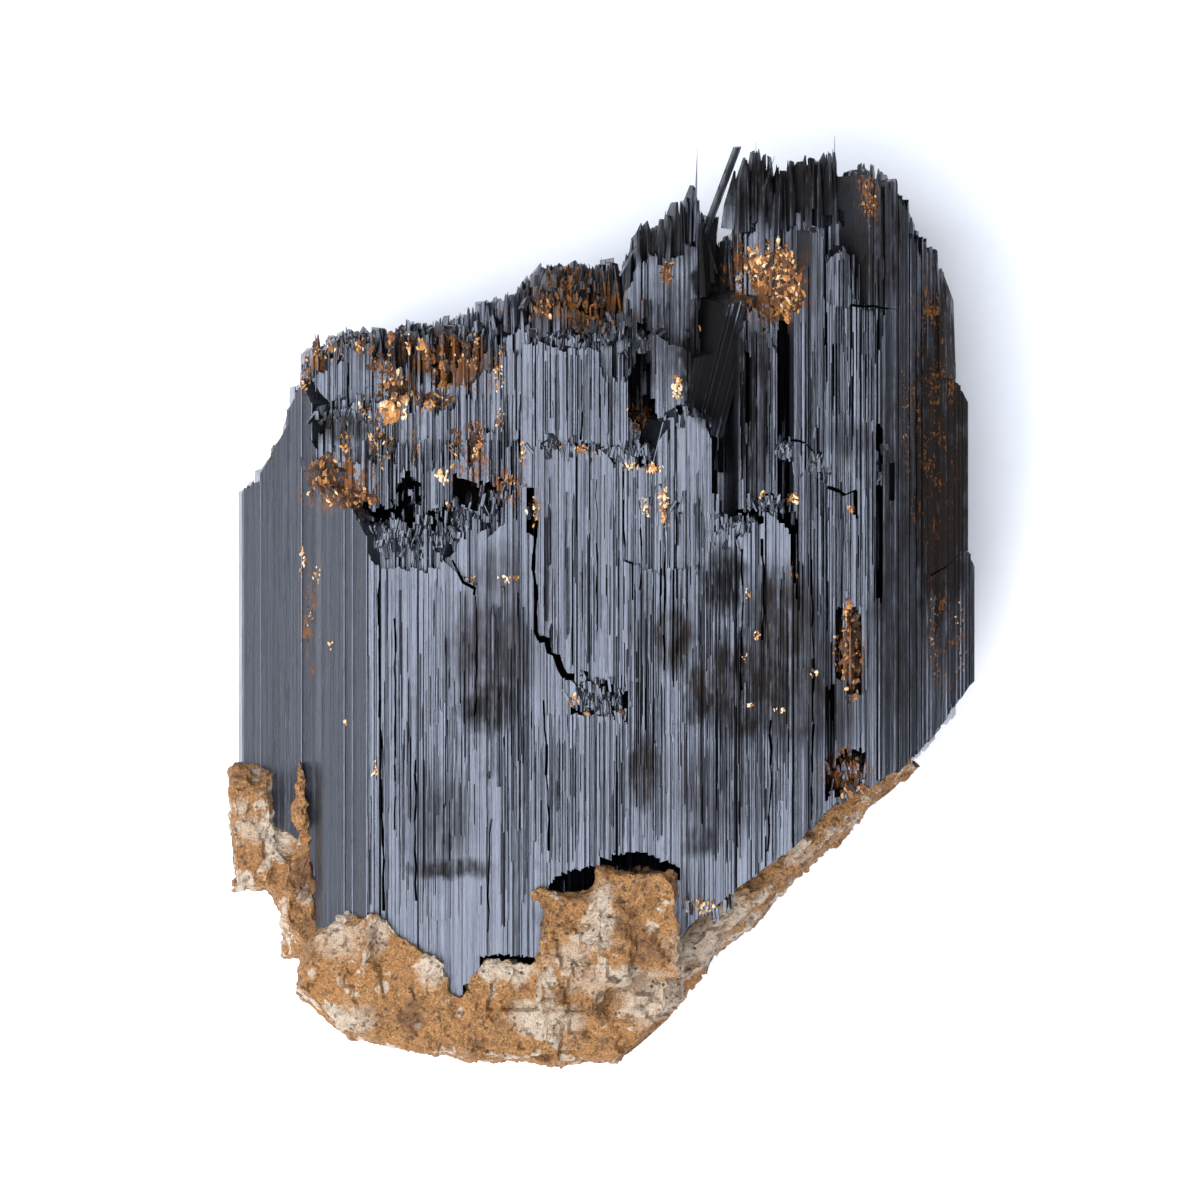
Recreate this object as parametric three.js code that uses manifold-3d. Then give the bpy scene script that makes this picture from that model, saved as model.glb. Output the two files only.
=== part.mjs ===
// A group of aegirine crystals still joined to the feldspar rock that they grew from: a loose hand
// specimen, which lies on its back. Millimetres.
// +Z is up, out of the broad striated front face. +Y runs along the crystals to their splintered ends,
// and +X is to the right of the front face. The origin is the middle of the outline, on the plane that
// the specimen lies on.

import * as THREE from "three";
import { mergeVertices } from "three/addons/utils/BufferGeometryUtils.js";
import Module from "manifold-3d";

const wasm = await Module();
wasm.setup();

// Driving dimensions. Places across the face are measured from a point near its middle.
const FACE_Z = 28.0; // the broad front face, above the plane that the specimen lies on
const CORE_Z = 9.8; // the front's blades reach down to here, among the blades of the back
const LEFT_X = -26.8; // outer side of the left flank
const LEFT_CORNER_X = -17.6; // long edge between the front face and the left flank
const RIGHT_CORNER_X = 21.0; // long edge between the front face and the right flank
const RIGHT_X = 26.2; // outer side of the right flank
const LEFT_DROP = 9.5; // how far the left flank falls away from the front face
const RIGHT_DROP = 11.0; // how far the right flank falls away
const BACK_RELIEF = 0.5; // the back's blades stay this far above the plane, apart from the one it lies on
const FLARE = 1 / 375; // the group is wider by this share for each millimetre below the front face
const BLADE_BEVEL = 0.22; // the long edges of each blade are worn by this much
const BLADE_OVERLAP = 0.35; // neighbours grow into each other by this much
const CONTACT_GAP = 0.3; // clear space between crystal and rock

// Where the crystals' lower ends lie, buried in the rock: [x, y] across the face
const FEET = [
  [-28, -18],
  [-21.5, -26],
  [-17, -27.5],
  [-12.6, -29],
  [-11.4, -30.4],
  [-10.2, -28.6],
  [-5, -28],
  [5, -27],
  [6.4, -24.4],
  [12, -20.3],
  [14.3, -18.6],
  [17.3, -15.4],
  [22.5, -12.6],
  [24.75, -10.3],
  [28, -6],
];

// The outline of the splintered top, where the hindmost crystals end: [x, y]
const CREST = [
  [LEFT_X, 8.2],
  [-25.4, 9.2],
  [-24.0, 12.0],
  [-22.4, 16.6],
  [-21.6, 19.2],
  [-19.5, 20.3],
  [-12.0, 21.2],
  [-6.2, 23.6],
  [-4.7, 25.4],
  [1.7, 25.6],
  [3.2, 28.6],
  [6.9, 29.6],
  [7.9, 27.6],
  [10.0, 27.8],
  [10.6, 30.8],
  [17.8, 30.8],
  [19.3, 33.0],
  [20.9, 32.4],
  [22.6, 30.2],
  [23.9, 26.6],
  [25.8, 24.6],
  [RIGHT_X, 17.0],
];

// Sheets of blades, one in front of another. Each one is as high as its level, and its blades stop at its ends.
const SHEETS = [
  {
    name: "lower plate, left",
    level: FACE_Z,
    ends: [
      [LEFT_CORNER_X, 5.2],
      [-15.4, 3.3],
      [-11.6, 3.0],
      [-9.4, 5.2],
      [-7.5, 7.6],
      [-4.9, 8.4],
    ],
    blade: 1.5,
  },
  {
    name: "lower plate, under the crack",
    level: FACE_Z,
    ends: [
      [-4.9, -2.4],
      [-3.8, -2.9],
      [-1.5, -6.8],
      [1.7, -8.4],
    ],
    blade: 1.4,
  },
  {
    name: "middle plate",
    level: FACE_Z - 0.6,
    ends: [
      [-4.9, 11.6],
      [2.2, 11.8],
      [3.6, 11.2],
      [5.2, 13.8],
      [7.2, 14.2],
      [8.4, 12.6],
    ],
    blade: 1.6,
  },
  {
    name: "lower plate, right",
    level: FACE_Z - 0.1,
    ends: [
      [1.7, 3.0],
      [8.6, 2.4],
      [8.8, 4.8],
      [11.6, 7.0],
      [14.6, 5.6],
    ],
    blade: 1.7,
  },
  {
    name: "upper middle plate",
    level: FACE_Z - 1.1,
    ends: [
      [-5.8, 19.0],
      [-4.2, 19.4],
      [-1.6, 18.6],
      [0.3, 17.0],
      [2.1, 16.9],
    ],
    blade: 1.4,
  },
  {
    name: "left field, front",
    level: FACE_Z - 2.2,
    ends: [
      [-19.0, 8.5],
      [-14.4, 11.0],
      [-12.2, 8.6],
      [-9.0, 13.4],
      [-5.6, 12.6],
    ],
    blade: 1.6,
  },
  {
    name: "left field, middle",
    level: FACE_Z - 3.8,
    ends: [
      [-21.2, 13.2],
      [-16.0, 16.0],
      [-11.5, 14.2],
      [-5.6, 18.4],
    ],
    blade: 1.8,
  },
  {
    name: "left field, back",
    level: FACE_Z - 6.0,
    ends: [
      [-22.0, 16.0],
      [-18.6, 18.4],
      [-13.0, 17.4],
      [-8.6, 20.0],
      [-4.8, 21.6],
    ],
    blade: 2.2,
  },
  {
    name: "pale plate",
    level: FACE_Z - 2.4,
    ends: [
      [3.4, 19.6],
      [6.8, 18.8],
    ],
    blade: 1.7,
  },
  {
    name: "centre",
    level: FACE_Z - 4.0,
    ends: [
      [-4.8, 22.4],
      [1.8, 21.2],
      [4.2, 25.6],
      [7.2, 27.0],
    ],
    blade: 1.3,
  },
  {
    name: "right bars",
    level: FACE_Z - 1.4,
    ends: [
      [10.4, 20.4],
      [11.2, 21.8],
      [13.4, 19.4],
    ],
    blade: 1.0,
  },
  {
    name: "behind the right bars",
    level: FACE_Z - 5.2,
    ends: [
      [10.2, 26.0],
      [12.4, 28.4],
      [14.4, 25.4],
    ],
    blade: 1.4,
  },
  {
    name: "right slab",
    level: FACE_Z - 0.4,
    ends: [
      [14.4, 22.8],
      [15.2, 28.0],
      [16.6, 27.8],
      [17.6, 25.0],
      [18.8, 22.4],
      [RIGHT_CORNER_X, 21.6],
    ],
    blade: 1.3,
  },
  {
    name: "behind the right slab",
    level: FACE_Z - 4.6,
    ends: [
      [14.0, 29.4],
      [17.8, 29.4],
      [19.2, 31.6],
      [21.6, 30.0],
    ],
    blade: 1.5,
  },
  {
    name: "hindmost",
    level: FACE_Z - 9.8,
    ends: CREST,
    blade: 2.0,
  },
];

// Spires of the splintered top: [x, y of the tip, level of the face, width]
const SPIRES = [
  [5.2, 30.6, 22.4, 0.9],
  [6.3, 31.2, 22.8, 1.0],
  [7.3, 33.8, 22.2, 0.9],
  [10.7, 33.4, 22.0, 0.9],
  [11.6, 34.6, 22.0, 0.9],
  [12.9, 33.6, 21.2, 0.8],
  [13.8, 33.2, 21.8, 0.9],
  [14.7, 32.8, 22.6, 0.9],
  [15.7, 33.5, 22.8, 0.9],
  [16.7, 33.7, 22.4, 0.9],
  [17.6, 34.8, 22.6, 0.8],
  [19.4, 33.9, 22.8, 1.4],
];
const SPIRE_ROOT_Y = 14; // the spires are rooted this far down among the other blades
const SPIRE_TAPER = 4.0; // length of a spire's pointed end
const SPIRE_POINT = 0.25; // a spire's tip is this share of its width

// Blades that grew askew, across the gully: middle of the face, length, width, thickness and lean towards +X
const ASKEW = [
  { name: "dark tilted blade", at: [9.0, 17.6, 23.8], length: 15, width: 3.4, thickness: 7, lean: 0.3 },
  { name: "leaning needle", at: [8.9, 29.4, 22.6], length: 10.4, width: 0.8, thickness: 4, lean: 0.3 },
  { name: "needle's root", at: [8.2, 25.0, 20.6], length: 9, width: 2.4, thickness: 5, lean: 0.12 },
];

// Walls of blades round the sides and back, each seen along the crystals as a path of [x, z] points,
// clockwise from the upper end, with the profile where its blades stop
const WALLS = [
  {
    name: "left flank",
    path: [
      [LEFT_CORNER_X, FACE_Z],
      [LEFT_X, FACE_Z - LEFT_DROP],
      [LEFT_X, 9.0],
    ],
    ends: [
      [LEFT_X, 8.2],
      [-25.6, 9.0],
      [-24.2, 11.4],
      [-22.6, 11.2],
      [-20.0, 9.4],
      [-18.6, 7.0],
      [LEFT_CORNER_X, 5.6],
    ],
    blade: 2.6,
  },
  {
    name: "left flank, inner",
    path: [
      [-18.8, FACE_Z - 3.4],
      [-24.2, FACE_Z - LEFT_DROP],
    ],
    ends: [
      [-24.6, 11.2],
      [-23.0, 14.6],
      [-22.2, 17.8],
      [-20.6, 19.4],
      [-18.8, 15.0],
    ],
    blade: 1.8,
  },
  {
    name: "back",
    path: [
      [LEFT_X, 9.0],
      [-16.0, BACK_RELIEF],
      [16.0, BACK_RELIEF],
      [24.6, 6.0],
      [RIGHT_X, 10.0],
    ],
    ends: [
      [LEFT_X, 5.0],
      [-22.0, 9.0],
      [-17.0, 14.0],
      [-6.0, 17.5],
      [0.0, 21.0],
      [6.0, 23.5],
      [11.0, 21.5],
      [18.0, 25.0],
      [22.0, 22.0],
      [RIGHT_X, 18.0],
    ],
    blade: 4.2,
  },
  {
    name: "right flank",
    path: [
      [RIGHT_X, 10.0],
      [RIGHT_X, FACE_Z - RIGHT_DROP],
      [RIGHT_CORNER_X, FACE_Z - 0.4],
    ],
    ends: [
      [RIGHT_CORNER_X, 20.0],
      [22.4, 22.6],
      [24.6, 24.8],
      [RIGHT_X, 23.4],
    ],
    blade: 1.8,
  },
];
const WALL_THICKNESS = 10.0; // how far the walls' blades reach inwards

// Broad blades with faces of their own, by the middle of the width and the direction that they face, in radians
// about Y: the one that the specimen lies on, and two ledges on the far right
const BROAD = [
  { name: "resting blade", x: 1.0, face: 0, facing: Math.PI, width: 8.4, thickness: 13, from: -3.5, to: 20 },
  { name: "lower ledge", x: 26.6, face: 16.5, facing: 0, width: 3.2, thickness: 7.5, from: -7.6, to: 3.0 },
  { name: "upper ledge", x: 26.1, face: 17.5, facing: 0, width: 2.8, thickness: 8.0, from: -6.0, to: 15.8 },
];

// The rock's flat contact with the crystals' back, which slopes down from the lower end: y and z of two points
const CONTACT = { foot: [-34, 15.5], heel: [-3.5, 0] };

// Lumps of feldspar rock: middle, size, turn about Z and tilt about the lump's own length, in radians.
// Blocky ones have more of their corners left, and plain ones fewer facets. The base lies behind the contact.
const DIAGONAL = Math.PI / 4;
const SLOPING = { turn: DIAGONAL, tilt: -0.12 };
const BASE = { plain: true, behind: true };
const LUMPS = [
  { name: "left block", at: [-25.6, -16.8, 15.6], size: [4.4, 9.8, 12.4], turn: 0.03, blocky: 1.2 },
  { name: "left wedge", at: [-22.3, -16.4, 17.8], size: [2.4, 9.0, 9.6], turn: 0.1, blocky: 0.8 },
  { name: "left root", at: [-22.4, -20.6, 12.8], size: [4.8, 7.4, 16.0], turn: 0.3, blocky: 0.9 },
  { name: "lower left lobe", at: [-16.8, -28.2, 18.4], size: [11.2, 9.8, 20.0], turn: -0.2, blocky: 1.2 },
  { name: "pale column", at: [-15.4, -27.2, 22.6], size: [4.8, 7.8, 12.6], turn: -0.3, blocky: 1.2 },
  { name: "middle lobe", at: [-8.0, -30.2, 21.2], size: [9.6, 8.2, 14.6], turn: -0.08, blocky: 1.1 },
  { name: "front block", at: [0.6, -27.4, 18.6], size: [10.6, 13.6, 24.0], turn: 0.04, blocky: 1.5 },
  { name: "right slope", at: [2.8, -26.0, 12.6], size: [11.0, 8.4, 21.0], ...SLOPING, blocky: 1.1 },
  { name: "shoulder", at: [9.9, -21.2, 12.8], size: [13.0, 6.8, 20.0], ...SLOPING, blocky: 1.1 },
  { name: "right strip", at: [17.2, -15.2, 12.8], size: [14.0, 5.6, 18.0], ...SLOPING, blocky: 1.1 },
  { name: "left apron", at: [-12.4, -26.6, 8.4], size: [14.6, 11, 16], turn: -0.16, blocky: 1, plain: true },
  { name: "right apron", at: [-3.0, -27.2, 8.8], size: [13.6, 12, 17], turn: 0.1, blocky: 1, plain: true },
  { name: "left base", at: [-6, -18.6, 6], size: [27, 23, 20], turn: 0.05, blocky: 0.9, ...BASE },
  { name: "right base", at: [5.4, -14.6, 6], size: [24, 12, 20], turn: DIAGONAL, blocky: 0.8, ...BASE },
];
const LUMP_DETAIL = 2; // subdivisions of each lump's starting icosahedron, one fewer in a plain lump
const LUMP_ROUGHNESS = 0.05; // share of its size that a lump's surface wanders by
const LUMP_BREAKS = 9; // flat breaks across the corners of each lump

// The rock's lower left and lower right sides are two diagonal breaks, this far from the middle of the face
const LEFT_BREAK = 36.8;
const RIGHT_BREAK = 25.4;

const CRYSTAL_COLOUR = 0x3f434c;
const ROCK_COLOUR = 0xbd9768;

// A seeded source of numbers from 0 to 1, so that each build is the same
function dice(seed) {
  let state = seed >>> 0;
  return () => {
    state = (state + 0x6d2b79f5) >>> 0;
    let t = state;
    t = Math.imul(t ^ (t >>> 15), t | 1);
    t ^= t + Math.imul(t ^ (t >>> 7), t | 61);
    return ((t ^ (t >>> 14)) >>> 0) / 4294967296;
  };
}

// The height of a profile of [x, y] points at x, held level past both ends
function heightOf(profile, x) {
  if (x <= profile[0][0]) return profile[0][1];
  for (let i = 1; i < profile.length; i++) {
    const [x0, y0] = profile[i - 1];
    const [x1, y1] = profile[i];
    if (x <= x1) return y0 + ((y1 - y0) * (x - x0)) / (x1 - x0);
  }
  return profile[profile.length - 1][1];
}

// The same geometry with each position once and nothing else but positions
function welded(geometry) {
  geometry.deleteAttribute("normal");
  geometry.deleteAttribute("uv");
  return mergeVertices(geometry, 1e-4);
}

function solidOf(geometry) {
  const merged = welded(geometry);
  return new wasm.Manifold(
    new wasm.Mesh({
      numProp: 3,
      vertProperties: merged.attributes.position.array,
      triVerts: new Uint32Array(merged.index.array),
    }),
  );
}

function geometryOf(solid) {
  const mesh = solid.getMesh();
  const geometry = new THREE.BufferGeometry();
  geometry.setAttribute("position", new THREE.BufferAttribute(mesh.vertProperties, 3));
  geometry.setIndex(new THREE.BufferAttribute(mesh.triVerts, 1));
  return geometry;
}

function join(solids) {
  return solids.reduce((whole, piece) => whole.add(piece));
}

// Loose chips that a cut leaves are dropped
function largestBody(solid) {
  return solid.decompose().reduce((a, b) => (a.volume() > b.volume() ? a : b));
}

// One blade: a long prism along Y whose flat face looks to +Z at z = 0. Its far end is cut askew by the
// slope snap, or drawn in to the share point of its section over its last taper.
function blade({ width, thickness, from, to, snap = 0, point = 1, taper = 0 }) {
  const half = width / 2;
  const bevel = Math.min(BLADE_BEVEL, width / 4);
  const section = new THREE.Shape([
    new THREE.Vector2(-half, thickness),
    new THREE.Vector2(-half, bevel),
    new THREE.Vector2(-half + bevel, 0),
    new THREE.Vector2(half - bevel, 0),
    new THREE.Vector2(half, bevel),
    new THREE.Vector2(half, thickness),
  ]);
  const length = to - from;
  const steps = taper > 0 ? 2 : 1;
  const geometry = new THREE.ExtrudeGeometry(section, { depth: length, steps, bevelEnabled: false });
  geometry.rotateX(-Math.PI / 2);
  const place = geometry.attributes.position;
  for (let i = 0; i < place.count; i++) {
    let [x, y, z] = [place.getX(i), place.getY(i), place.getZ(i)];
    if (y > length * 0.75) {
      x *= point;
      z = point < 1 ? z * point - (1 - point) * width * 0.5 : z;
      y += snap * x;
    } else if (y > length * 0.25) y = length - taper;
    place.setXYZ(i, x, y + from, z);
  }
  return geometry;
}

// A blade that faces along turn, an angle about Y from +Z, with its face through x, z
function placedBlade(shape, x, z, turn = 0) {
  return solidOf(blade(shape).rotateY(turn).translate(x, 0, z));
}

function sheetOfBlades(sheet, random) {
  const last = sheet.ends[sheet.ends.length - 1][0];
  const made = [];
  let x = sheet.ends[0][0];
  while (x < last - 0.2) {
    const width = Math.min(sheet.blade * (0.6 + 0.8 * random()), last - x);
    const middle = x + width / 2;
    const level = sheet.level - 0.3 * random();
    const shape = {
      width: width + BLADE_OVERLAP,
      thickness: level - CORE_Z + random(),
      from: heightOf(FEET, middle) - 0.3 * random(),
      to: heightOf(sheet.ends, middle) + 0.9 * (random() - 0.5),
      snap: 0.8 * (random() - 0.5),
    };
    made.push(placedBlade(shape, middle, level, 0.05 * (random() - 0.5)));
    x += width;
  }
  return made;
}

function wallOfBlades(wall, random) {
  const made = [];
  for (let i = 1; i < wall.path.length; i++) {
    const [x0, z0] = wall.path[i - 1];
    const [x1, z1] = wall.path[i];
    const run = Math.hypot(x1 - x0, z1 - z0);
    const count = Math.max(1, Math.round(run / wall.blade));
    const turn = Math.PI - Math.atan2(z1 - z0, x1 - x0);
    for (let n = 0; n < count; n++) {
      const share = (n + 0.5) / count;
      const inset = 0.3 * random();
      const x = x0 + (x1 - x0) * share - inset * Math.sin(turn);
      const z = z0 + (z1 - z0) * share - inset * Math.cos(turn);
      const shape = {
        width: run / count + BLADE_OVERLAP + 0.5 * random(),
        thickness: WALL_THICKNESS + random(),
        from: heightOf(FEET, x) + 0.5 * random(),
        to: heightOf(wall.ends, x) - 0.8 * random(),
        snap: 0.8 * (random() - 0.5),
      };
      made.push(placedBlade(shape, x, z, turn));
    }
  }
  return made;
}

function spires(random) {
  return SPIRES.map(([x, tip, level, width]) => {
    const shape = {
      width,
      thickness: level - CORE_Z,
      from: SPIRE_ROOT_Y,
      to: tip,
      point: SPIRE_POINT,
      taper: SPIRE_TAPER,
    };
    return placedBlade(shape, x, level, 0.1 * (random() - 0.5));
  });
}

function askewBlades() {
  return ASKEW.map(({ at, length, width, thickness, lean }) => {
    const straight = blade({ width, thickness, from: -length / 2, to: length / 2, snap: 0.5 });
    return solidOf(straight.rotateZ(-lean).translate(...at));
  });
}

function broadBlades() {
  return BROAD.map(({ x, face, facing, ...shape }) => placedBlade({ ...shape, snap: -0.3 }, x, face, facing));
}

// One lump of rock: an icosahedron pushed out to a rough block with its corners broken off by flat breaks.
// grown makes it larger on every side, to cut the room that it needs.
function lump({ at, size, turn, tilt = 0, blocky, plain = false, behind = false }, seed, grown) {
  const random = dice(seed);
  const breaks = [];
  for (const axis of [0, 1, 2])
    for (const side of [-1, 1]) {
      const normal = new THREE.Vector3().setComponent(axis, side);
      normal.x += 0.16 * (random() - 0.5);
      normal.y += 0.16 * (random() - 0.5);
      breaks.push({ normal: normal.normalize(), reach: 1 });
    }
  for (let n = 0; n < LUMP_BREAKS; n++) {
    const normal = new THREE.Vector3(random() - 0.5, random() - 0.5, random() - 0.5).normalize();
    breaks.push({ normal, reach: 0.9 + 0.5 * blocky * (0.4 + 0.6 * random()) });
  }
  const geometry = welded(new THREE.IcosahedronGeometry(1, plain ? LUMP_DETAIL - 1 : LUMP_DETAIL));
  const place = geometry.attributes.position;
  const way = new THREE.Vector3();
  for (let i = 0; i < place.count; i++) {
    way.fromBufferAttribute(place, i).normalize();
    const reaches = breaks.map(({ normal, reach }) => {
      const facing = normal.dot(way);
      return facing > 0.05 ? reach / facing : Infinity;
    });
    way.multiplyScalar(Math.min(...reaches) * (1 + LUMP_ROUGHNESS * (2 * random() - 1)));
    place.setXYZ(
      i,
      way.x * (size[0] / 2 + grown),
      way.y * (size[1] / 2 + grown),
      way.z * (size[2] / 2 + grown),
    );
  }
  const block = solidOf(geometry.rotateX(tilt).rotateZ(turn).translate(...at));
  return behind ? block.intersect(underTheContact(grown)) : block;
}

// Everything on the rock's side of its flat contact with the crystals' back, moved up by raised
function underTheContact(raised) {
  const [y0, z0] = CONTACT.foot;
  const [y1, z1] = CONTACT.heel;
  const depth = 60;
  const slope = Math.atan2(z1 - z0, y1 - y0);
  const slab = new THREE.BoxGeometry(200, 200, depth).translate(0, 0, raised - depth / 2);
  return solidOf(slab.rotateX(slope).translate(0, y1, z1));
}

function rock(grown) {
  return join(LUMPS.map((spec, n) => lump(spec, 100 + n, grown)));
}

// The room above the resting plane and inside the rock's two diagonal breaks
function roomForTheRock() {
  const [length, width, height] = [100, 100, 60];
  const room = new THREE.BoxGeometry(length, width, height);
  room.translate(length / 2 - LEFT_BREAK, width / 2 - RIGHT_BREAK, height / 2);
  return solidOf(room.rotateZ(Math.PI / 4));
}

function crystalGroup() {
  const random = dice(7);
  const blades = [
    ...SHEETS.flatMap((sheet) => sheetOfBlades(sheet, random)),
    ...WALLS.flatMap((wall) => wallOfBlades(wall, random)),
    ...spires(random),
    ...askewBlades(),
    ...broadBlades(),
  ];
  return largestBody(join(blades).subtract(rock(CONTACT_GAP)));
}

function matrix() {
  return largestBody(rock(0).intersect(roomForTheRock()));
}

// Widens a geometry below the front face, and narrows what stands above it
function flared(geometry) {
  const place = geometry.attributes.position;
  for (let i = 0; i < place.count; i++) {
    const z = place.getZ(i);
    const share = 1 + (FACE_Z - z) * FLARE;
    place.setXYZ(i, place.getX(i) * share, place.getY(i) * share, z);
  }
  return geometry;
}

function named(name, solid, colour, roughness, metalness) {
  const material = new THREE.MeshStandardMaterial({ color: colour, roughness, metalness, flatShading: true });
  const mesh = new THREE.Mesh(flared(geometryOf(solid)), material);
  mesh.name = name;
  return mesh;
}

const specimen = new THREE.Group();
specimen.add(
  named("aegirine_crystal", crystalGroup(), CRYSTAL_COLOUR, 0.35, 0.1),
  named("feldspar_matrix", matrix(), ROCK_COLOUR, 0.85, 0),
);

// The middle of the outline goes over the origin
const middle = new THREE.Box3().setFromObject(specimen).getCenter(new THREE.Vector3());
for (const mesh of specimen.children) mesh.geometry.translate(-middle.x, -middle.y, 0);

export default specimen;
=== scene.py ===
# A hand specimen of aegirine: a group of parallel, striated black crystals that end in splinters, rooted in
# cream and ochre feldspar rock. It lies on its back, with its broad front face up.
import itertools
import math
import random

import bmesh
import bpy
import numpy as np
from mathutils import Euler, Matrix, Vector
from mathutils.bvhtree import BVHTree
from mathutils.kdtree import KDTree


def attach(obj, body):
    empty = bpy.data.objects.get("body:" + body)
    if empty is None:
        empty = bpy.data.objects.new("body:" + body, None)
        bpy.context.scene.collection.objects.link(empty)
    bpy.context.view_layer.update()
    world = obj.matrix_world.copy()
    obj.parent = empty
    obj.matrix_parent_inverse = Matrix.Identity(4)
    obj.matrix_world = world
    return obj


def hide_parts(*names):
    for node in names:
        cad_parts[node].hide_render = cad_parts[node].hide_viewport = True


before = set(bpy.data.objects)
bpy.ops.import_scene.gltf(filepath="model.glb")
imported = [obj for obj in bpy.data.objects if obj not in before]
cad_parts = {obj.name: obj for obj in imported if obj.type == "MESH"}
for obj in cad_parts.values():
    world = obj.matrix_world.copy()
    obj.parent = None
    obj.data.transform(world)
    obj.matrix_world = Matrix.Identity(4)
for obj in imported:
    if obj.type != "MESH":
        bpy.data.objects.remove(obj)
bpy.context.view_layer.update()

# Sizes and places are in millimetres. Places across the face are measured from a point near its middle, as
# they are seen from the camera: x to the right, y along the crystals to their splintered ends, z up from the
# table.
MM = 0.001
MIDDLE = (0.258, -0.199)  # the middle of the whole outline, from the middle of the face
FACE_Z = 28.0  # the broad front face
LEFT_X = -26.8  # outer side of the left flank
LEFT_CORNER_X = -17.6  # long edge between the front face and the left flank
RIGHT_CORNER_X = 21.0  # long edge between the front face and the right flank
RIGHT_X = 26.2  # outer side of the right flank
LEFT_DROP = 9.5  # how far the left flank falls away from the front face
RIGHT_DROP = 11.0  # how far the right flank falls away
BACK_RELIEF = 0.5  # the back's blades stay this far above the table, apart from the one it lies on
CAMERA_REACH = 375.0  # from the camera down to the front face
FLARE = 1 / CAMERA_REACH  # the group is wider by this share for each millimetre below the front face
HIND_Z = 18.2  # behind the front's sheets, the layers of needle-like blades start at this height

# The blades. Pairs are the least and the most that a random size may be, unless it says otherwise.
STRIA = 0.16  # usual width of the long facets cut in the blades' faces
FACET_WANDER = 0.42  # how far a facet's edge strays, as a share of its width
RELIEF = 0.024  # how far those facets wander up and down
RELIEF_SHARES = [0.3, 0.7, 1.0, 1.6]  # some blades are smoother than others
WALL_RELIEF = 0.6 * RELIEF
BEVEL = 0.05  # the long edges of each blade are worn by this much
OVERLAP = 0.1  # neighbours grow into each other by this much
WIDTH_SPREAD = (-0.15, 0.6)  # mean and deviation of the logarithm of a blade's share of the usual width
WIDTH_LIMITS = (0.3, 3.2)  # limits of that share
OPENING = (0.04, 0.12)  # width of a dark groove between two blades
SUNK_SHARE = 0.12  # share of blades that lie deeper than their neighbours
SUNK = (0.2, 0.7)  # and how much deeper
ROOTED = 0.8  # a sheet's blades reach this far below HIND_Z
REMNANT = 0.05  # a rest of a sheet or wall under this width gets no blade
NARROWEST = 0.06  # a blade between two grooves is left out under this width
SHORTEST = 0.5  # and under this length
STEEPEST = 2.0  # blades' ends slope no more than this
CRYSTAL_SEED = 7

# Where the crystals' lower ends lie, buried in the rock
FEET = [
    (-28, -16), (-23.6, -17.5), (-21.6, -19.0), (-21.2, -25.6), (-17, -27.5), (-12.6, -29), (-11.4, -30.4),
    (-10.2, -28.6), (-5, -28), (5, -27), (6.4, -24.4), (12, -20.3), (14.3, -18.6), (17.3, -15.4),
    (22.5, -12.6), (24.75, -10.3), (28, -6),
]

# The outline of the splintered top, where the hindmost crystals end
CREST = [
    (LEFT_X, 8.2), (-25.4, 9.2), (-24.0, 12.0), (-22.4, 16.6), (-21.6, 19.0), (-19.5, 19.9), (-12.0, 20.6),
    (-6.2, 22.8), (-4.7, 24.7), (1.7, 25.0), (3.2, 27.6), (6.9, 28.2), (7.9, 26.2), (10.0, 26.8),
    (10.8, 29.0), (12.8, 29.2), (13.2, 28.0), (16.6, 29.0), (17.6, 28.2), (18.4, 29.8), (19.3, 31.4),
    (20.9, 31.2), (22.6, 29.2), (23.9, 25.8), (25.4, 24.0), (RIGHT_X, 17.0),
]

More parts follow.
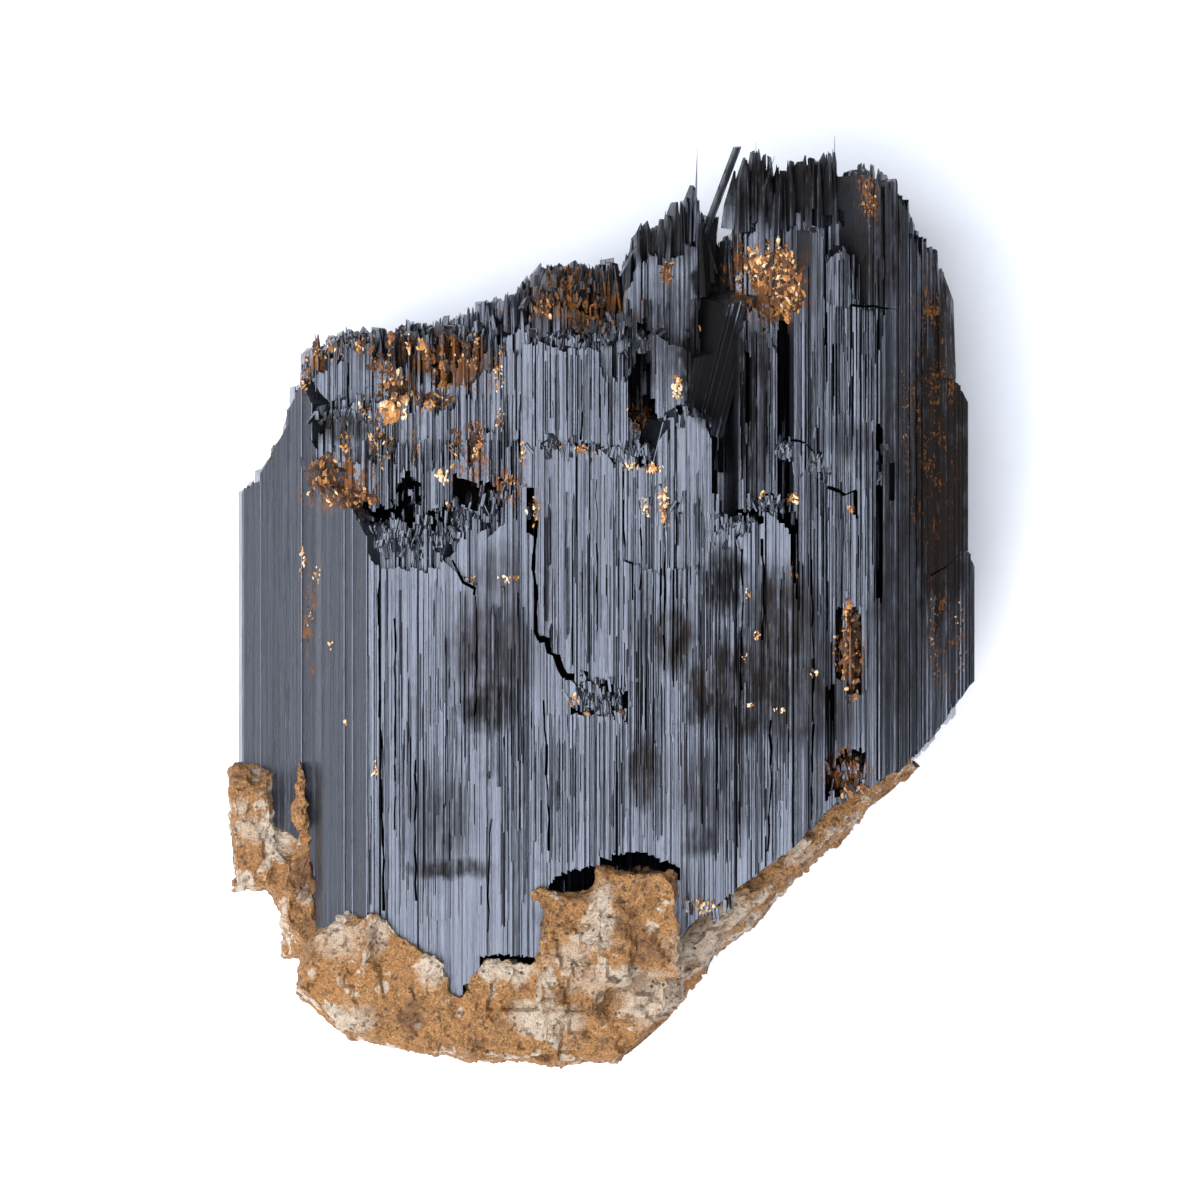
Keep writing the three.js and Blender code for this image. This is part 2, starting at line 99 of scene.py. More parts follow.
# Sheets of fine blades, one in front of another: the height of the sheet, where its blades end, their usual
# width, how ragged the ends are, how much the blades differ in height (rough) and in the way they face
# (spread), the whole sheet's turn, and the share of its blades with a groove beside them where it isn't
# GROOVED. Those that are lower belong to the lower plates.
SHEETS = [
    dict(name="lower plate, left", lower=True, level=28.0, width=0.5, ragged=0.25, rough=0.12, spread=0.05,
         ends=[(-17.6, 4.1), (-17.1, 2.8), (-16.6, 2.5), (-12.8, 2.2), (-10.9, 2.5), (-10.4, 1.1),
               (-9.3, 1.1), (-9.2, 5.1), (-8.1, 5.4), (-7.1, 5.5), (-7.0, 7.7), (-6.4, 8.4), (-5.5, 8.5),
               (-5.0, 7.5)]),
    dict(name="crushed edge", lower=True, level=27.2, width=0.28, ragged=0.7, rough=0.6, spread=0.3,
         ends=[(-17.4, 4.5), (-16.6, 5.5), (-14.6, 5.5), (-14.1, 3.9), (-12.8, 5.4), (-12.0, 3.9),
               (-10.9, 4.1), (-10.3, 5.2), (-9.0, 6.0)]),
    dict(name="lower plate, under the crack", lower=True, level=28.0, width=0.45, ragged=0.2, rough=0.12,
         spread=0.05,
         ends=[(-4.9, -2.5), (-4.0, -2.9), (-3.6, -3.9), (-3.0, -4.6), (-2.5, -5.5), (-1.5, -6.9),
               (0, -8.0), (1.7, -8.5)]),
    dict(name="middle plate", level=27.5, width=0.5, ragged=0.4, rough=0.15, spread=0.06,
         ends=[(-4.9, 11.5), (-3.0, 11.7), (-0.4, 11.4), (0.9, 10.3), (2.2, 10.9), (3.0, 10.3), (4.1, 10.0),
               (5.1, 13.8), (7.2, 14.2), (8.4, 12.0)]),
    dict(name="lower plate, right", lower=True, level=27.9, width=0.4, ragged=0.35, rough=0.18, spread=0.07,
         turn=0.02,
         ends=[(1.6, 3.0), (4.5, 2.2), (7.5, 2.5), (8.7, 4.5), (9.3, 5.7), (10.7, 5.1), (11.6, 6.8),
               (12.6, 6.6), (13.5, 6.0), (14.4, 5.0)]),
    dict(name="upper middle plate", grooved=0.06, level=26.9, width=0.5, ragged=0.3, rough=0.15,
         spread=0.05,
         ends=[(-5.8, 19.1), (-4.5, 19.3), (-2.5, 18.6), (-1.1, 19.1), (0, 18.6), (0.1, 16.6),
               (2.1, 16.6)]),
    dict(name="left field, front", grooved=0.35, level=25.8, width=0.4, ragged=0.8, rough=0.35, spread=0.1,
         ends=[(-19.1, 9.8), (-17.1, 10.9), (-15.6, 9.8), (-14.2, 10.9), (-12.8, 9.0), (-11.1, 12.0),
               (-9.8, 10.3), (-8.4, 13.5), (-7.1, 12.0), (-5.7, 12.6)]),
    dict(name="left field, middle", grooved=0.35, level=24.2, width=0.45, ragged=0.9, rough=0.4, spread=0.1,
         ends=[(-21.1, 13.2), (-19.1, 14.6), (-16.6, 15.0), (-15.4, 14.7), (-14.2, 14.8), (-12.8, 14.2),
               (-10.9, 15.1), (-9.4, 16.1), (-7.5, 18.0), (-5.5, 18.6)]),
    dict(name="left field, back", grooved=0.35, level=22.0, width=0.5, ragged=0.9, rough=0.5, spread=0.12,
         ends=[(-22.1, 16.1), (-20.2, 18.0), (-18.6, 18.9), (-16.5, 18.3), (-14.2, 17.1), (-12.0, 16.6),
               (-8.6, 19.1), (-6.6, 20.2), (-4.8, 21.6)]),
    dict(name="pale plate", level=25.7, width=0.6, ragged=0.15, rough=0.06, spread=0.03,
         ends=[(3.7, 19.8), (4.1, 19.9), (6.5, 18.8), (6.8, 18.6)]),
    dict(name="centre", grooved=0.35, level=24.0, width=0.36, ragged=0.6, rough=0.4, spread=0.1,
         ends=[(-4.8, 21.8), (-3.0, 22.2), (0, 21.1), (1.8, 21.6), (2.7, 25.3), (3.8, 26.1), (5.1, 25.3),
               (6.8, 26.7), (7.3, 27.0)]),
    dict(name="right bars", grooved=0.35, level=26.5, width=0.34, ragged=0.8, rough=0.4, spread=0.1,
         turn=0.05, ends=[(10.4, 20.2), (11.1, 21.9), (11.8, 21.1), (12.6, 20.2), (13.3, 18.6)]),
    dict(name="behind the right bars", grooved=0.35, level=22.8, width=0.36, ragged=0.7, rough=0.6,
         spread=0.12, ends=[(10.2, 25.9), (11.2, 27.9), (12.4, 28.3), (13.5, 27.0), (14.4, 25.3)]),
    dict(name="right slab", level=27.6, width=0.42, ragged=0.4, rough=0.15, spread=0.05, turn=0.16,
         ends=[(14.6, 21.8), (15.0, 22.2), (15.4, 22.3), (15.6, 27.8), (16.6, 27.9), (16.8, 22.3),
               (17.4, 22.5), (18.6, 21.9), (19.6, 21.8), (20.4, 21.6), (21.0, 20.8)]),
    dict(name="right of the slab", level=26.6, width=0.4, ragged=0.4, rough=0.2, spread=0.07, turn=0.2,
         ends=[(16.8, 25.3), (17.7, 26.2), (18.4, 26.4), (18.9, 22.5), (19.6, 22.3), (20.6, 22.1),
               (21.4, 21.1)]),
    dict(name="behind the right slab", grooved=0.35, level=23.4, width=0.36, ragged=0.9, rough=0.5,
         spread=0.12, turn=0.12,
         ends=[(14.0, 28.2), (15.0, 28.9), (18.2, 29.1), (18.4, 31.5), (19.2, 32.1), (20.2, 32.4),
               (21.3, 30.6), (21.9, 29.5)]),
    dict(name="right side, stepping down", grooved=0.35, level=[(20.4, 27.0), (22.4, 24.6), (26.0, 18.4)],
         width=0.26, ragged=1.4, rough=0.7, spread=0.22, turn=0.4,
         ends=[(20.2, 31.5), (21.3, 30.9), (22.6, 30.3), (23.4, 28.8), (23.7, 27.3), (24.4, 26.3),
               (25.1, 25.6), (25.7, 24.8), (26.1, 23.2)]),
    dict(name="upper ledge", level=[(24.8, 19.4), (27.0, 17.4)], width=0.5, depth=8.0, ragged=0.12,
         rough=0.15, spread=0.06, turn=0.5, foot=-8.0,
         ends=[(24.8, 17.1), (26.2, 16.8), (27.0, 16.1), (27.5, 15.1), (27.6, 13.5)]),
    dict(name="lower ledge", level=[(24.8, 19.6), (27.4, 16.6)], width=0.4, depth=7.5, ragged=0.15,
         rough=0.25, spread=0.1, turn=0.5, foot=-8.0,
         ends=[(24.9, 1.9), (25.9, 2.5), (26.9, 3.4), (27.6, 3.8), (28.1, 2.5)]),
]
GROOVED = 0.13  # share of the other sheets' blades with a dark groove beside them
HIND_LAYERS = 4  # behind those, layers of needle-like blades from HIND_Z down
HIND_STEP = 2.2  # from one layer down to the next
HIND_SHORTER = 0.35  # each layer ends this much lower than the one before it
HIND = dict(name="hindmost", width=0.42, ragged=0.9, rough=0.5, spread=0.15, depth=2.9)

# Walls of blades round the sides and back, each seen along the crystals as a path of (x, z) points,
# clockwise from the upper end, with the profile where its blades stop
WALLS = [
    dict(name="left flank", width=1.1, ragged=0.3, rough=0.12, spread=0.03,
         path=[(LEFT_CORNER_X, FACE_Z), (-20.9, FACE_Z - 3.0), (-21.4, FACE_Z - 4.4),
               (LEFT_X, FACE_Z - LEFT_DROP), (LEFT_X, 9.0)],
         ends=[(LEFT_X, 8.2), (-25.6, 9.2), (-24.2, 11.8), (-23.2, 14.6), (-22.3, 17.0), (-21.9, 15.2),
               (-21.5, 11.4), (-20.6, 8.8), (-18.8, 7.2), (LEFT_CORNER_X, 5.2)]),
    dict(name="left flank, inner", width=0.7, ragged=0.7, rough=0.4, spread=0.08,
         path=[(-20.4, FACE_Z - 6.2), (-24.2, FACE_Z - LEFT_DROP)],
         ends=[(-24.6, 11.2), (-23.0, 14.6), (-22.2, 17.4), (-20.6, 18.6), (-18.8, 15.0)]),
    dict(name="back", width=1.1, ragged=0.8, rough=0.4, spread=0.06,
         path=[(LEFT_X, 9.0), (-16.0, BACK_RELIEF), (16.0, BACK_RELIEF), (24.6, 6.0), (RIGHT_X, 10.0)],
         ends=[(LEFT_X, 5.0), (-22.0, 9.0), (-17.0, 14.0), (-6.0, 17.5), (0.0, 21.0), (6.0, 23.5),
               (11.0, 21.5), (18.0, 25.0), (22.0, 22.0), (RIGHT_X, 18.0)]),
    dict(name="right flank", width=0.5, ragged=0.6, rough=0.3, spread=0.1,
         path=[(RIGHT_X, 10.0), (RIGHT_X, FACE_Z - RIGHT_DROP), (RIGHT_CORNER_X, FACE_Z - 3.0)],
         ends=[(RIGHT_CORNER_X, 20.0), (22.4, 22.6), (24.6, 23.0), (RIGHT_X, 22.0)]),
]
WALL_THICKNESS = 10.0  # how far the walls' blades reach inwards, at least
WALL_REACH = 0.8  # the slopes of their ends are taken over this width

# The broad blade of the back that the specimen lies on
RESTING = dict(x=1.0, width=8.4, depth=13.0, start=-3.5, stop=20.0)

# Blades that grew askew, across the gully: the middle of the face, their size, their lean towards +X and
# their turn
ASKEW = [
    dict(name="dark tilted blade", at=(9.5, 17.4, 24.6), length=10.4, width=2.3, depth=6.0, lean=0.25,
         turn=0.52),
    dict(name="its left shoulder", at=(7.7, 16.0, 25.0), length=5.0, width=2.2, depth=5.0, lean=0.22,
         turn=0.5),
    dict(name="small tilted blade", at=(4.7, 11.6, 27.1), length=3.8, width=0.9, depth=3.0, lean=0.24,
         turn=0.5),
    dict(name="leaning needle", at=(9.0, 30.2, 21.6), length=8.0, width=0.42, depth=0.7, lean=0.36,
         turn=0.3),
    dict(name="needle's root", at=(7.9, 24.8, 21.2), length=7.4, width=1.3, depth=3.4, lean=0.12, turn=0.5),
]

# Clumps of needles in the splintered top: the outline of their tips, the height of the highest, how deep the
# clump is, how many there are, how wide, how far they splay, where they root and how far they dip away
NEEDLES = [
    dict(name="over the centre", level=23.6, deep=3.6, count=46, width=0.34, splay=0.04, root=15.0,
         dip=0.12,
         tips=[(2.1, 25.3), (2.4, 26.8), (3.0, 28.3), (3.8, 28.7), (4.1, 27.4), (5.1, 29.5), (6.8, 30.4),
               (7.3, 31.6), (7.7, 28.1), (8.4, 27.3)]),
    dict(name="in the gully", level=20.8, deep=1.5, count=14, width=0.3, splay=0.05, root=16.0, dip=0.1,
         tips=[(7.6, 26.6), (8.6, 27.6), (9.4, 27.0), (10.2, 28.9)]),
    dict(name="first spire", level=23.4, deep=3.5, count=34, width=0.27, splay=0.03, root=17.0, dip=0.08,
         tips=[(10.3, 31.0), (10.5, 32.5), (11.0, 33.3), (11.3, 32.8), (11.7, 34.3), (12.0, 33.1),
               (12.5, 33.6), (12.8, 33.0), (12.9, 31.0)]),
    dict(name="second spire", level=23.4, deep=3.5, count=28, width=0.24, splay=0.025, root=17.0, dip=0.08,
         tips=[(13.1, 30.8), (13.3, 32.9), (13.7, 32.1), (14.2, 33.3), (14.5, 32.1), (14.8, 32.6),
               (15.2, 31.6)]),
    dict(name="picket fence", level=23.4, deep=3.0, count=40, width=0.2, splay=0.012, root=19.0, dip=0.05,
         tips=[(15.2, 32.9), (15.4, 33.4), (15.9, 33.1), (16.3, 33.4), (16.6, 33.0), (16.9, 33.7),
               (17.6, 33.9)]),
    dict(name="shoulder", level=23.6, deep=4.0, count=46, width=0.3, splay=0.03, root=18.0, dip=0.1,
         tips=[(17.6, 30.6), (18.5, 32.4), (18.8, 31.9), (19.3, 33.0), (20.1, 32.9), (20.8, 32.5),
               (21.8, 31.2), (22.6, 30.4)]),
    dict(name="falling edge", level=20.6, deep=3.5, count=40, width=0.3, splay=0.03, root=12.0, dip=0.06,
         tips=[(21.0, 31.6), (22.6, 30.4), (23.4, 28.8), (23.7, 27.3), (24.4, 26.3), (25.1, 25.8),
               (25.7, 24.9), (26.2, 23.6)]),
    dict(name="over the left centre", level=23.0, deep=4.0, count=56, width=0.32, splay=0.09, root=13.0,
         dip=0.1,
         tips=[(-6.0, 22.8), (-5.2, 24.0), (-4.5, 25.2), (-3.0, 25.1), (-1.5, 25.3), (0, 25.1), (1.6, 25.5),
               (2.4, 26.6)]),
    dict(name="upper left", level=20.6, deep=3.5, count=90, width=0.36, splay=0.07, root=9.0, dip=0.1,
         tips=[(-22.3, 17.1), (-22.1, 18.3), (-21.4, 19.2), (-19.5, 20.2), (-16.5, 20.4), (-15.0, 20.6),
               (-12.0, 21.1), (-9.8, 22.1), (-8.2, 22.6), (-5.7, 23.7)]),
]
SINGLE_NEEDLES = [
    # tip, level, width, length, lean
    ((17.6, 34.8), 23.4, 0.2, 12.0, 0.0),
    ((0.1, 25.7), 22.8, 0.14, 3.0, -0.1),
    ((13.1, 33.3), 23.0, 0.14, 3.4, 0.32),
    ((7.3, 33.9), 23.2, 0.18, 7.0, 0.03),
    ((11.7, 34.4), 23.0, 0.14, 6.0, 0.0),
    ((3.1, 27.3), 23.0, 0.16, 3.4, 0.5),
    ((7.6, 28.3), 22.0, 0.16, 4.0, -0.3),
    ((10.1, 32.2), 21.6, 1.0, 4.4, 0.12),
]
SINGLE_DEPTH = 0.6
NEEDLE_LENGTH = (3.0, 8.5)
NEEDLE_DEPTH = (0.8, 2.4)
NEEDLE_TAPER = (0.8, 3.6)  # length of its pointed end
NEEDLE_POINT = 0.12  # a needle's tip is this share of its width
BLUNT_POINT = 0.4  # and this share on every third

# Hollows that were broken out between the blades: their lower and upper ends across their width, their
# floor, and how ragged they are
HOLLOWS = [
    dict(name="over the lower plate, left", floor=18.6, ragged=0.8,
         low=[(-15.3, 6.0), (-14.8, 5.2), (-14.1, 5.4), (-13.4, 7.5)],
         high=[(-15.3, 8.1), (-14.7, 9.6), (-13.4, 8.7)]),
    dict(name="over the lower plate, middle", floor=19.2, ragged=0.8,
         low=[(-12.9, 6.0), (-12.4, 3.3), (-11.5, 3.0), (-10.8, 5.2)],
         high=[(-12.9, 6.6), (-12.0, 6.5), (-10.8, 7.5)]),
    dict(name="over the lower plate, right", floor=19.6, ragged=0.7,
         low=[(-11.0, 7.5), (-10.0, 6.9), (-8.8, 6.6), (-7.3, 7.2)],
         high=[(-11.0, 9.2), (-9.8, 9.0), (-8.6, 8.5), (-7.3, 8.8)]),
    dict(name="behind the crushed edge", floor=21.0, ragged=0.9,
         low=[(-17.8, 6.6), (-16.5, 5.8), (-15.1, 6.1)], high=[(-17.8, 7.2), (-16.5, 6.9), (-15.1, 7.3)]),
    dict(name="right of the tall blade", floor=20.0, ragged=0.1, low=[(-5.5, 5.1), (-5.0, 4.8)],
         high=[(-5.8, 8.5), (-5.0, 8.4)]),
    dict(name="square hole", floor=17.8, ragged=0.5,
         low=[(2.1, 13.8), (3.0, 13.2), (3.4, 10.3), (4.3, 10.2)],
         high=[(2.1, 16.6), (3.0, 18.8), (3.6, 16.6), (4.3, 13.5)]),
    dict(name="beside the square hole", floor=19.5, ragged=0.6, low=[(2.8, 14.7), (3.8, 14.7)],
         high=[(2.8, 20.8), (3.3, 21.1), (3.8, 19.9)]),
    dict(name="under the dark blade", floor=18.0, ragged=0.6, low=[(8.4, 8.1), (9.2, 7.5), (9.5, 8.5)],
         high=[(8.4, 13.7), (8.9, 13.9), (9.5, 13.5)]),
    dict(name="gully", floor=18.4, ragged=0.9, low=[(7.6, 19.2), (8.4, 19.5), (8.7, 20.8), (9.4, 21.3)],
         high=[(7.6, 27.6), (8.4, 27.1), (8.8, 22.5), (9.4, 25.6)]),
    dict(name="left wall of the dark blade", floor=19.0, ragged=0.5,
         low=[(5.7, 13.5), (6.8, 14.1), (8.4, 13.5)], high=[(5.7, 14.7), (6.8, 14.8), (8.4, 14.4)]),
    dict(name="slot beside the right bars", floor=17.6, ragged=0.7,
         low=[(13.3, 6.0), (13.7, 5.7), (14.2, 6.1)], high=[(13.3, 20.2), (13.8, 20.8), (14.2, 19.8)]),
    dict(name="slot in the right bars", floor=19.0, ragged=0.7, low=[(10.9, 13.5), (11.2, 12.8)],
         high=[(10.9, 19.1), (11.2, 18.6)]),
    dict(name="under the picket fence", floor=17.8, ragged=0.4,
         low=[(15.4, 28.0), (16.8, 28.1), (18.3, 28.2)], high=[(15.4, 29.4), (16.8, 29.6), (18.3, 29.2)]),
    dict(name="over the lower plate, far right", floor=19.5, ragged=0.9,
         low=[(10.2, 5.8), (11.2, 5.2), (12.5, 6.5), (13.5, 6.0), (14.7, 5.0)],
         high=[(10.2, 6.9), (11.4, 6.6), (12.5, 7.6), (13.8, 7.5), (14.7, 6.3)]),
    dict(name="left of the slab", floor=20.5, ragged=0.2, low=[(14.3, 2.9), (14.8, -0.3)],
         high=[(14.3, 7.1), (14.8, 6.0)]),
    dict(name="ochre pocket", floor=25.6, ragged=0.3, low=[(18.4, -6.9), (19.6, -7.1)],
         high=[(18.4, -0.3), (19.6, -1.1)]),
    dict(name="slot left of the pocket", floor=23.6, ragged=0.3, low=[(17.7, -5.7), (18.2, -6.0)],
         high=[(17.7, -0.9), (18.2, -0.4)]),
    dict(name="foot of the long groove", floor=21.6, ragged=0.6, low=[(16.9, -15.0), (17.6, -14.4)],
         high=[(16.9, -6.8), (17.6, -6.3)]),
    dict(name="end of the long groove", floor=22.4, ragged=1.0, low=[(17.6, -14.4), (19.9, -13.9)],
         high=[(17.6, -11.7), (19.9, -11.4)]),
    dict(name="long groove", floor=21.4, ragged=0.8, low=[(20.7, -0.1), (21.2, 0)],
         high=[(20.7, 12.8), (21.2, 13.2)]),
    dict(name="short groove", floor=22.0, ragged=0.4, low=[(21.7, 7.5), (22.1, 7.3)],
         high=[(21.7, 10.0), (22.1, 10.3)]),
    dict(name="slot in the right slab", floor=22.5, ragged=0.3, low=[(19.0, 6.3), (19.3, 6.1)],
         high=[(19.0, 8.2), (19.3, 8.2)]),
    dict(name="first pit under the crack", floor=23.0, ragged=0.3, low=[(-1.5, -7.8), (-0.9, -8.1)],
         high=[(-1.5, -5.7), (-0.9, -5.4)]),
    dict(name="second pit under the crack", floor=25.0, ragged=0.8,
         low=[(-0.4, -6.5), (0.4, -8.7), (1.1, -8.8)], high=[(-0.4, -5.4), (0.4, -6.3), (1.1, -6.6)]),
    dict(name="third pit under the crack", floor=24.0, ragged=0.3, low=[(1.7, -9.0), (2.1, -9.2)],
         high=[(1.7, -7.0), (2.1, -6.9)]),
    dict(name="lower edge of the pits", floor=25.4, ragged=0.3, low=[(-2.2, -8.4), (0.3, -8.8)],
         high=[(-2.2, -8.0), (0.3, -8.2)]),
    dict(name="gap over the front block, right", floor=23.4, ragged=0.2, low=[(0, -21.0), (6.0, -21.0)],
         high=[(0, -19.9), (0.9, -19.1), (3.0, -18.9), (4.8, -19.5), (6.0, -20.1)]),
    dict(name="gap over the front block, left", floor=23.4, ragged=0.2, low=[(-4.0, -22.9), (0, -22.9)],
         high=[(-4.0, -21.8), (-3.3, -20.7), (-1.5, -20.1), (0, -19.9)]),
    dict(name="gap over the middle lobe", floor=23.0, ragged=0.2, low=[(-9.0, -28.1), (-4.3, -28.1)],
         high=[(-9.0, -26.8), (-7.5, -26.6), (-4.3, -26.8)]),
]
HOLLOW_STEP = 0.28  # usual width of the blades that are cut away
REMNANT_CUT = 0.02  # a rest of a hollow under this width isn't cut
CUT_RISE = 3.0  # every cut starts this far above its own level
SPLINTERED = 0.35  # splinters that stand in the hollows, per square millimetre
STANDING_WIDTH = (0.1, 0.3)
STANDING_DEPTH = 3.0
STANDING_RISE = (0.5, 3.0)  # how far they stand above the hollow's floor

# Cracks that cross the blades: their path over the face, width and floor
CRACKS = [
    dict(name="beside the lower plate", width=0.28, floor=22.6,
         path=[(-4.8, 6.0), (-5.0, 2.2), (-4.8, 0), (-4.7, -2.4)]),
    dict(name="below it", width=0.5, floor=22.6,
         path=[(-4.8, -2.2), (-4.6, -2.9), (-4.0, -2.9), (-3.8, -3.9), (-3.2, -4.2), (-2.9, -5.1),
               (-2.5, -5.7), (-2.0, -5.8)]),
    dict(name="its end", width=0.2, floor=25.0, path=[(-2.2, -5.8), (-1.5, -6.8), (0, -7.9)]),
    dict(name="step of the lower plate", width=0.22, floor=25.0,
         path=[(-11.0, 2.9), (-10.3, 1.3), (-9.4, 0.9), (-9.4, 0.4)]),
    dict(name="K over the right slab", width=0.26, floor=23.6,
         path=[(16.1, 10.7), (16.6, 9.2), (17.1, 8.4), (17.8, 8.2), (18.4, 7.9), (19.2, 8.2)]),
    dict(name="step of the right slab", width=0.2, floor=24.4,
         path=[(14.1, 12.0), (14.7, 11.9), (15.4, 11.7), (15.9, 11.2)]),
    dict(name="top step of the right slab", width=0.26, floor=24.0,
         path=[(18.8, 22.1), (19.6, 22.0), (20.6, 22.1), (22.5, 21.8)]),
    dict(name="across the middle plate", width=0.24, floor=25.0,
         path=[(-4.6, 11.5), (-3.9, 12.0), (-3.0, 11.2), (-2.1, 11.7), (-0.8, 11.1), (0.4, 11.5),
               (1.1, 10.3)]),
    dict(name="lower left groove", width=0.18, floor=25.4,
         path=[(-16.6, 1.5), (-16.5, -7.5), (-16.4, -13.5), (-16.2, -23.2)]),
    dict(name="second lower left groove", width=0.14, floor=26.4,
         path=[(-15.4, -1.5), (-15.4, -7.5), (-15.4, -17.2)]),
    dict(name="left groove", width=0.16, floor=26.2, path=[(-13.8, -12.0), (-13.9, -16.5), (-13.8, -22.5)]),
    dict(name="middle groove", width=0.14, floor=26.4, path=[(-9.3, 0.3), (-9.2, -3.0), (-9.4, -9.8)]),
    dict(name="lower middle groove", width=0.16, floor=26.2,
         path=[(-8.2, -16.5), (-8.3, -19.5), (-8.4, -24.8)]),
    dict(name="centre groove", width=0.16, floor=25.8, path=[(4.8, 6.0), (4.9, 0), (4.8, -5.2)]),
    dict(name="stepping groove", width=0.16, floor=25.6,
         path=[(1.8, 7.5), (1.9, 2.9), (2.4, 2.8), (2.5, 0)]),
    dict(name="groove beside it", width=0.16, floor=25.6, path=[(3.0, 7.5), (3.1, 3.0), (3.0, 0.8)]),
    dict(name="groove over the block", width=0.18, floor=26.0,
         path=[(-4.3, -7.5), (-4.0, -12.0), (-3.8, -18.8)]),
    dict(name="right groove", width=0.2, floor=25.6, path=[(12.2, 4.5), (12.3, 0), (12.2, -3.0)]),
    dict(name="second right groove", width=0.16, floor=25.8,
         path=[(10.6, 3.8), (10.7, -1.5), (10.6, -6.8)]),
    dict(name="far groove", width=0.2, floor=25.0, path=[(15.9, 3.0), (16.0, -4.5), (15.9, -16.5)]),
    dict(name="low groove", width=0.18, floor=25.6, path=[(12.8, -9.0), (12.8, -13.5), (12.6, -18.8)]),
    dict(name="long middle groove", width=0.14, floor=25.8, path=[(-0.3, 9.0), (-0.2, 3.0), (-0.3, -3.0)]),
    dict(name="upper groove", width=0.18, floor=24.6, path=[(-1.4, 18.0), (-1.3, 15.0), (-1.4, 12.0)]),
    dict(name="ledge on the far right", width=0.3, floor=15.0,
         path=[(24.9, 1.8), (25.9, 2.4), (26.8, 3.3), (27.8, 3.9)]),
]
CRACK_WANDER = 0.16  # how far a crack strays from its path
CRACK_STEP = 1.2  # and how often

# Places where slivers stand and nicks are cut, where a stria starts or stops: the lower left and upper right
# corners, the level of the face, and how many slivers
STREAKED = [
    dict(name="lower plate, left", lower=True, span=[(-17.6, -24.4), (-5.1, 1.5)], level=28.0, count=140),
    dict(name="lower plate, middle", lower=True, span=[(-5.1, -19.5), (1.6, -8.6)], level=28.0, count=50),
    dict(name="lower plate, right", lower=True, span=[(1.6, -19.5), (14.6, 2.6)], level=27.9, count=180),
    dict(name="middle plate", span=[(-4.6, -6.8), (9.0, 10.9)], level=27.5, count=110),
    dict(name="upper middle plate", span=[(-5.7, 12.0), (2.1, 18.4)], level=26.9, count=22),
    dict(name="right slab", span=[(14.8, -10.5), (20.8, 21.4)], level=27.5, count=130),
    dict(name="right bars", span=[(10.5, 6.8), (13.2, 20.2)], level=26.4, count=40),
    dict(name="left field, front", span=[(-18.8, 6.0), (-5.7, 12.0)], level=25.8, count=50),
    dict(name="left field, middle", span=[(-20.2, 10.5), (-5.5, 15.4)], level=24.2, count=50),
    dict(name="left field, back", span=[(-21.6, 15.0), (-4.8, 19.9)], level=22.0, count=50),
    dict(name="centre", span=[(-4.6, 13.5), (7.5, 22.5)], level=24.2, count=40),
    dict(name="right of the slab", span=[(16.9, 13.5), (21.3, 25.9)], level=26.4, count=50),
]
NICKS = 0.7  # nicks for each sliver
STREAK_SPREAD = (1.7, 0.7)  # mean and deviation of the logarithm of their length
SHORTEST_STREAK = 0.3
SLIVER_WIDTH = (0.06, 0.24)
SLIVER_DEPTH = 0.9
SLIVER_RISE = (-0.07, 0.04)  # how far they stand above the face
NICK_WIDTH = (0.03, 0.11)
NICK_DEPTH = (0.1, 0.6)

# Places where the crystals are crushed to small splinters: middle, half size, level, how many
CRUSHED = [
    ((-15.6, 4.8), (1.6, 0.9), 27.5, 60),
    ((-12.0, 4.5), (1.6, 1.4), 27.0, 60),
    ((-19.1, 13.7), (2.4, 0.6), 24.4, 60),
    ((-13.5, 7.5), (4.5, 1.4), 25.0, 60),
    ((-7.5, 7.5), (2.0, 1.2), 26.0, 30),
    ((0, -7.5), (2.8, 1.3), 28.0, 70),
    ((-1.9, 11.2), (2.6, 0.6), 27.4, 50),
    ((3.0, 10.9), (1.4, 0.9), 27.4, 40),
    ((4.1, 6.8), (1.6, 1.6), 27.5, 50),
    ((10.1, 5.6), (2.0, 0.9), 27.6, 60),
    ((12.8, 7.1), (1.6, 0.7), 27.2, 40),
    ((16.1, 9.8), (1.4, 1.2), 27.6, 40),
    ((-3.0, 22.5), (2.8, 1.2), 23.6, 70),
    ((0, 20.2), (2.0, 1.0), 25.2, 50),
    ((-19.5, 19.1), (2.6, 0.8), 21.8, 60),
    ((-11.2, 20.2), (4.0, 0.8), 21.4, 70),
    ((7.5, -22.9), (1.6, 0.8), 27.9, 40),
    ((-16.5, 4.5), (1.6, 1.2), 27.4, 60),
    ((-13.1, 4.1), (1.2, 1.3), 27.0, 50),
    ((-10.3, 5.6), (1.4, 1.2), 26.4, 50),
    ((-19.9, 9.8), (1.6, 1.4), 24.0, 50),
    ((-3.0, 19.1), (2.2, 0.9), 25.8, 60),
    ((4.1, 19.1), (1.8, 1.0), 25.4, 50),
    ((6.8, 13.5), (1.6, 0.5), 27.2, 40),
    ((9.2, 4.5), (1.0, 0.7), 27.8, 40),
    ((-0.8, -6.8), (1.6, 1.3), 27.9, 50),
    ((18.8, -12.8), (1.4, 1.2), 26.0, 60),
    ((14.2, 11.2), (1.4, 0.7), 27.0, 40),
    ((20.4, 9.8), (1.0, 1.6), 26.6, 40),
]
CRUSHED_LENGTH = (0.25, 1.1)
CRUSHED_WIDTH = (0.1, 0.36)
CRUSHED_DEPTH = (0.5, 1.4)
CRUSHED_RISE = (-0.5, 0.05)  # how far they stand above the level
CREST_MARGIN = 0.3  # they end this far inside the crest

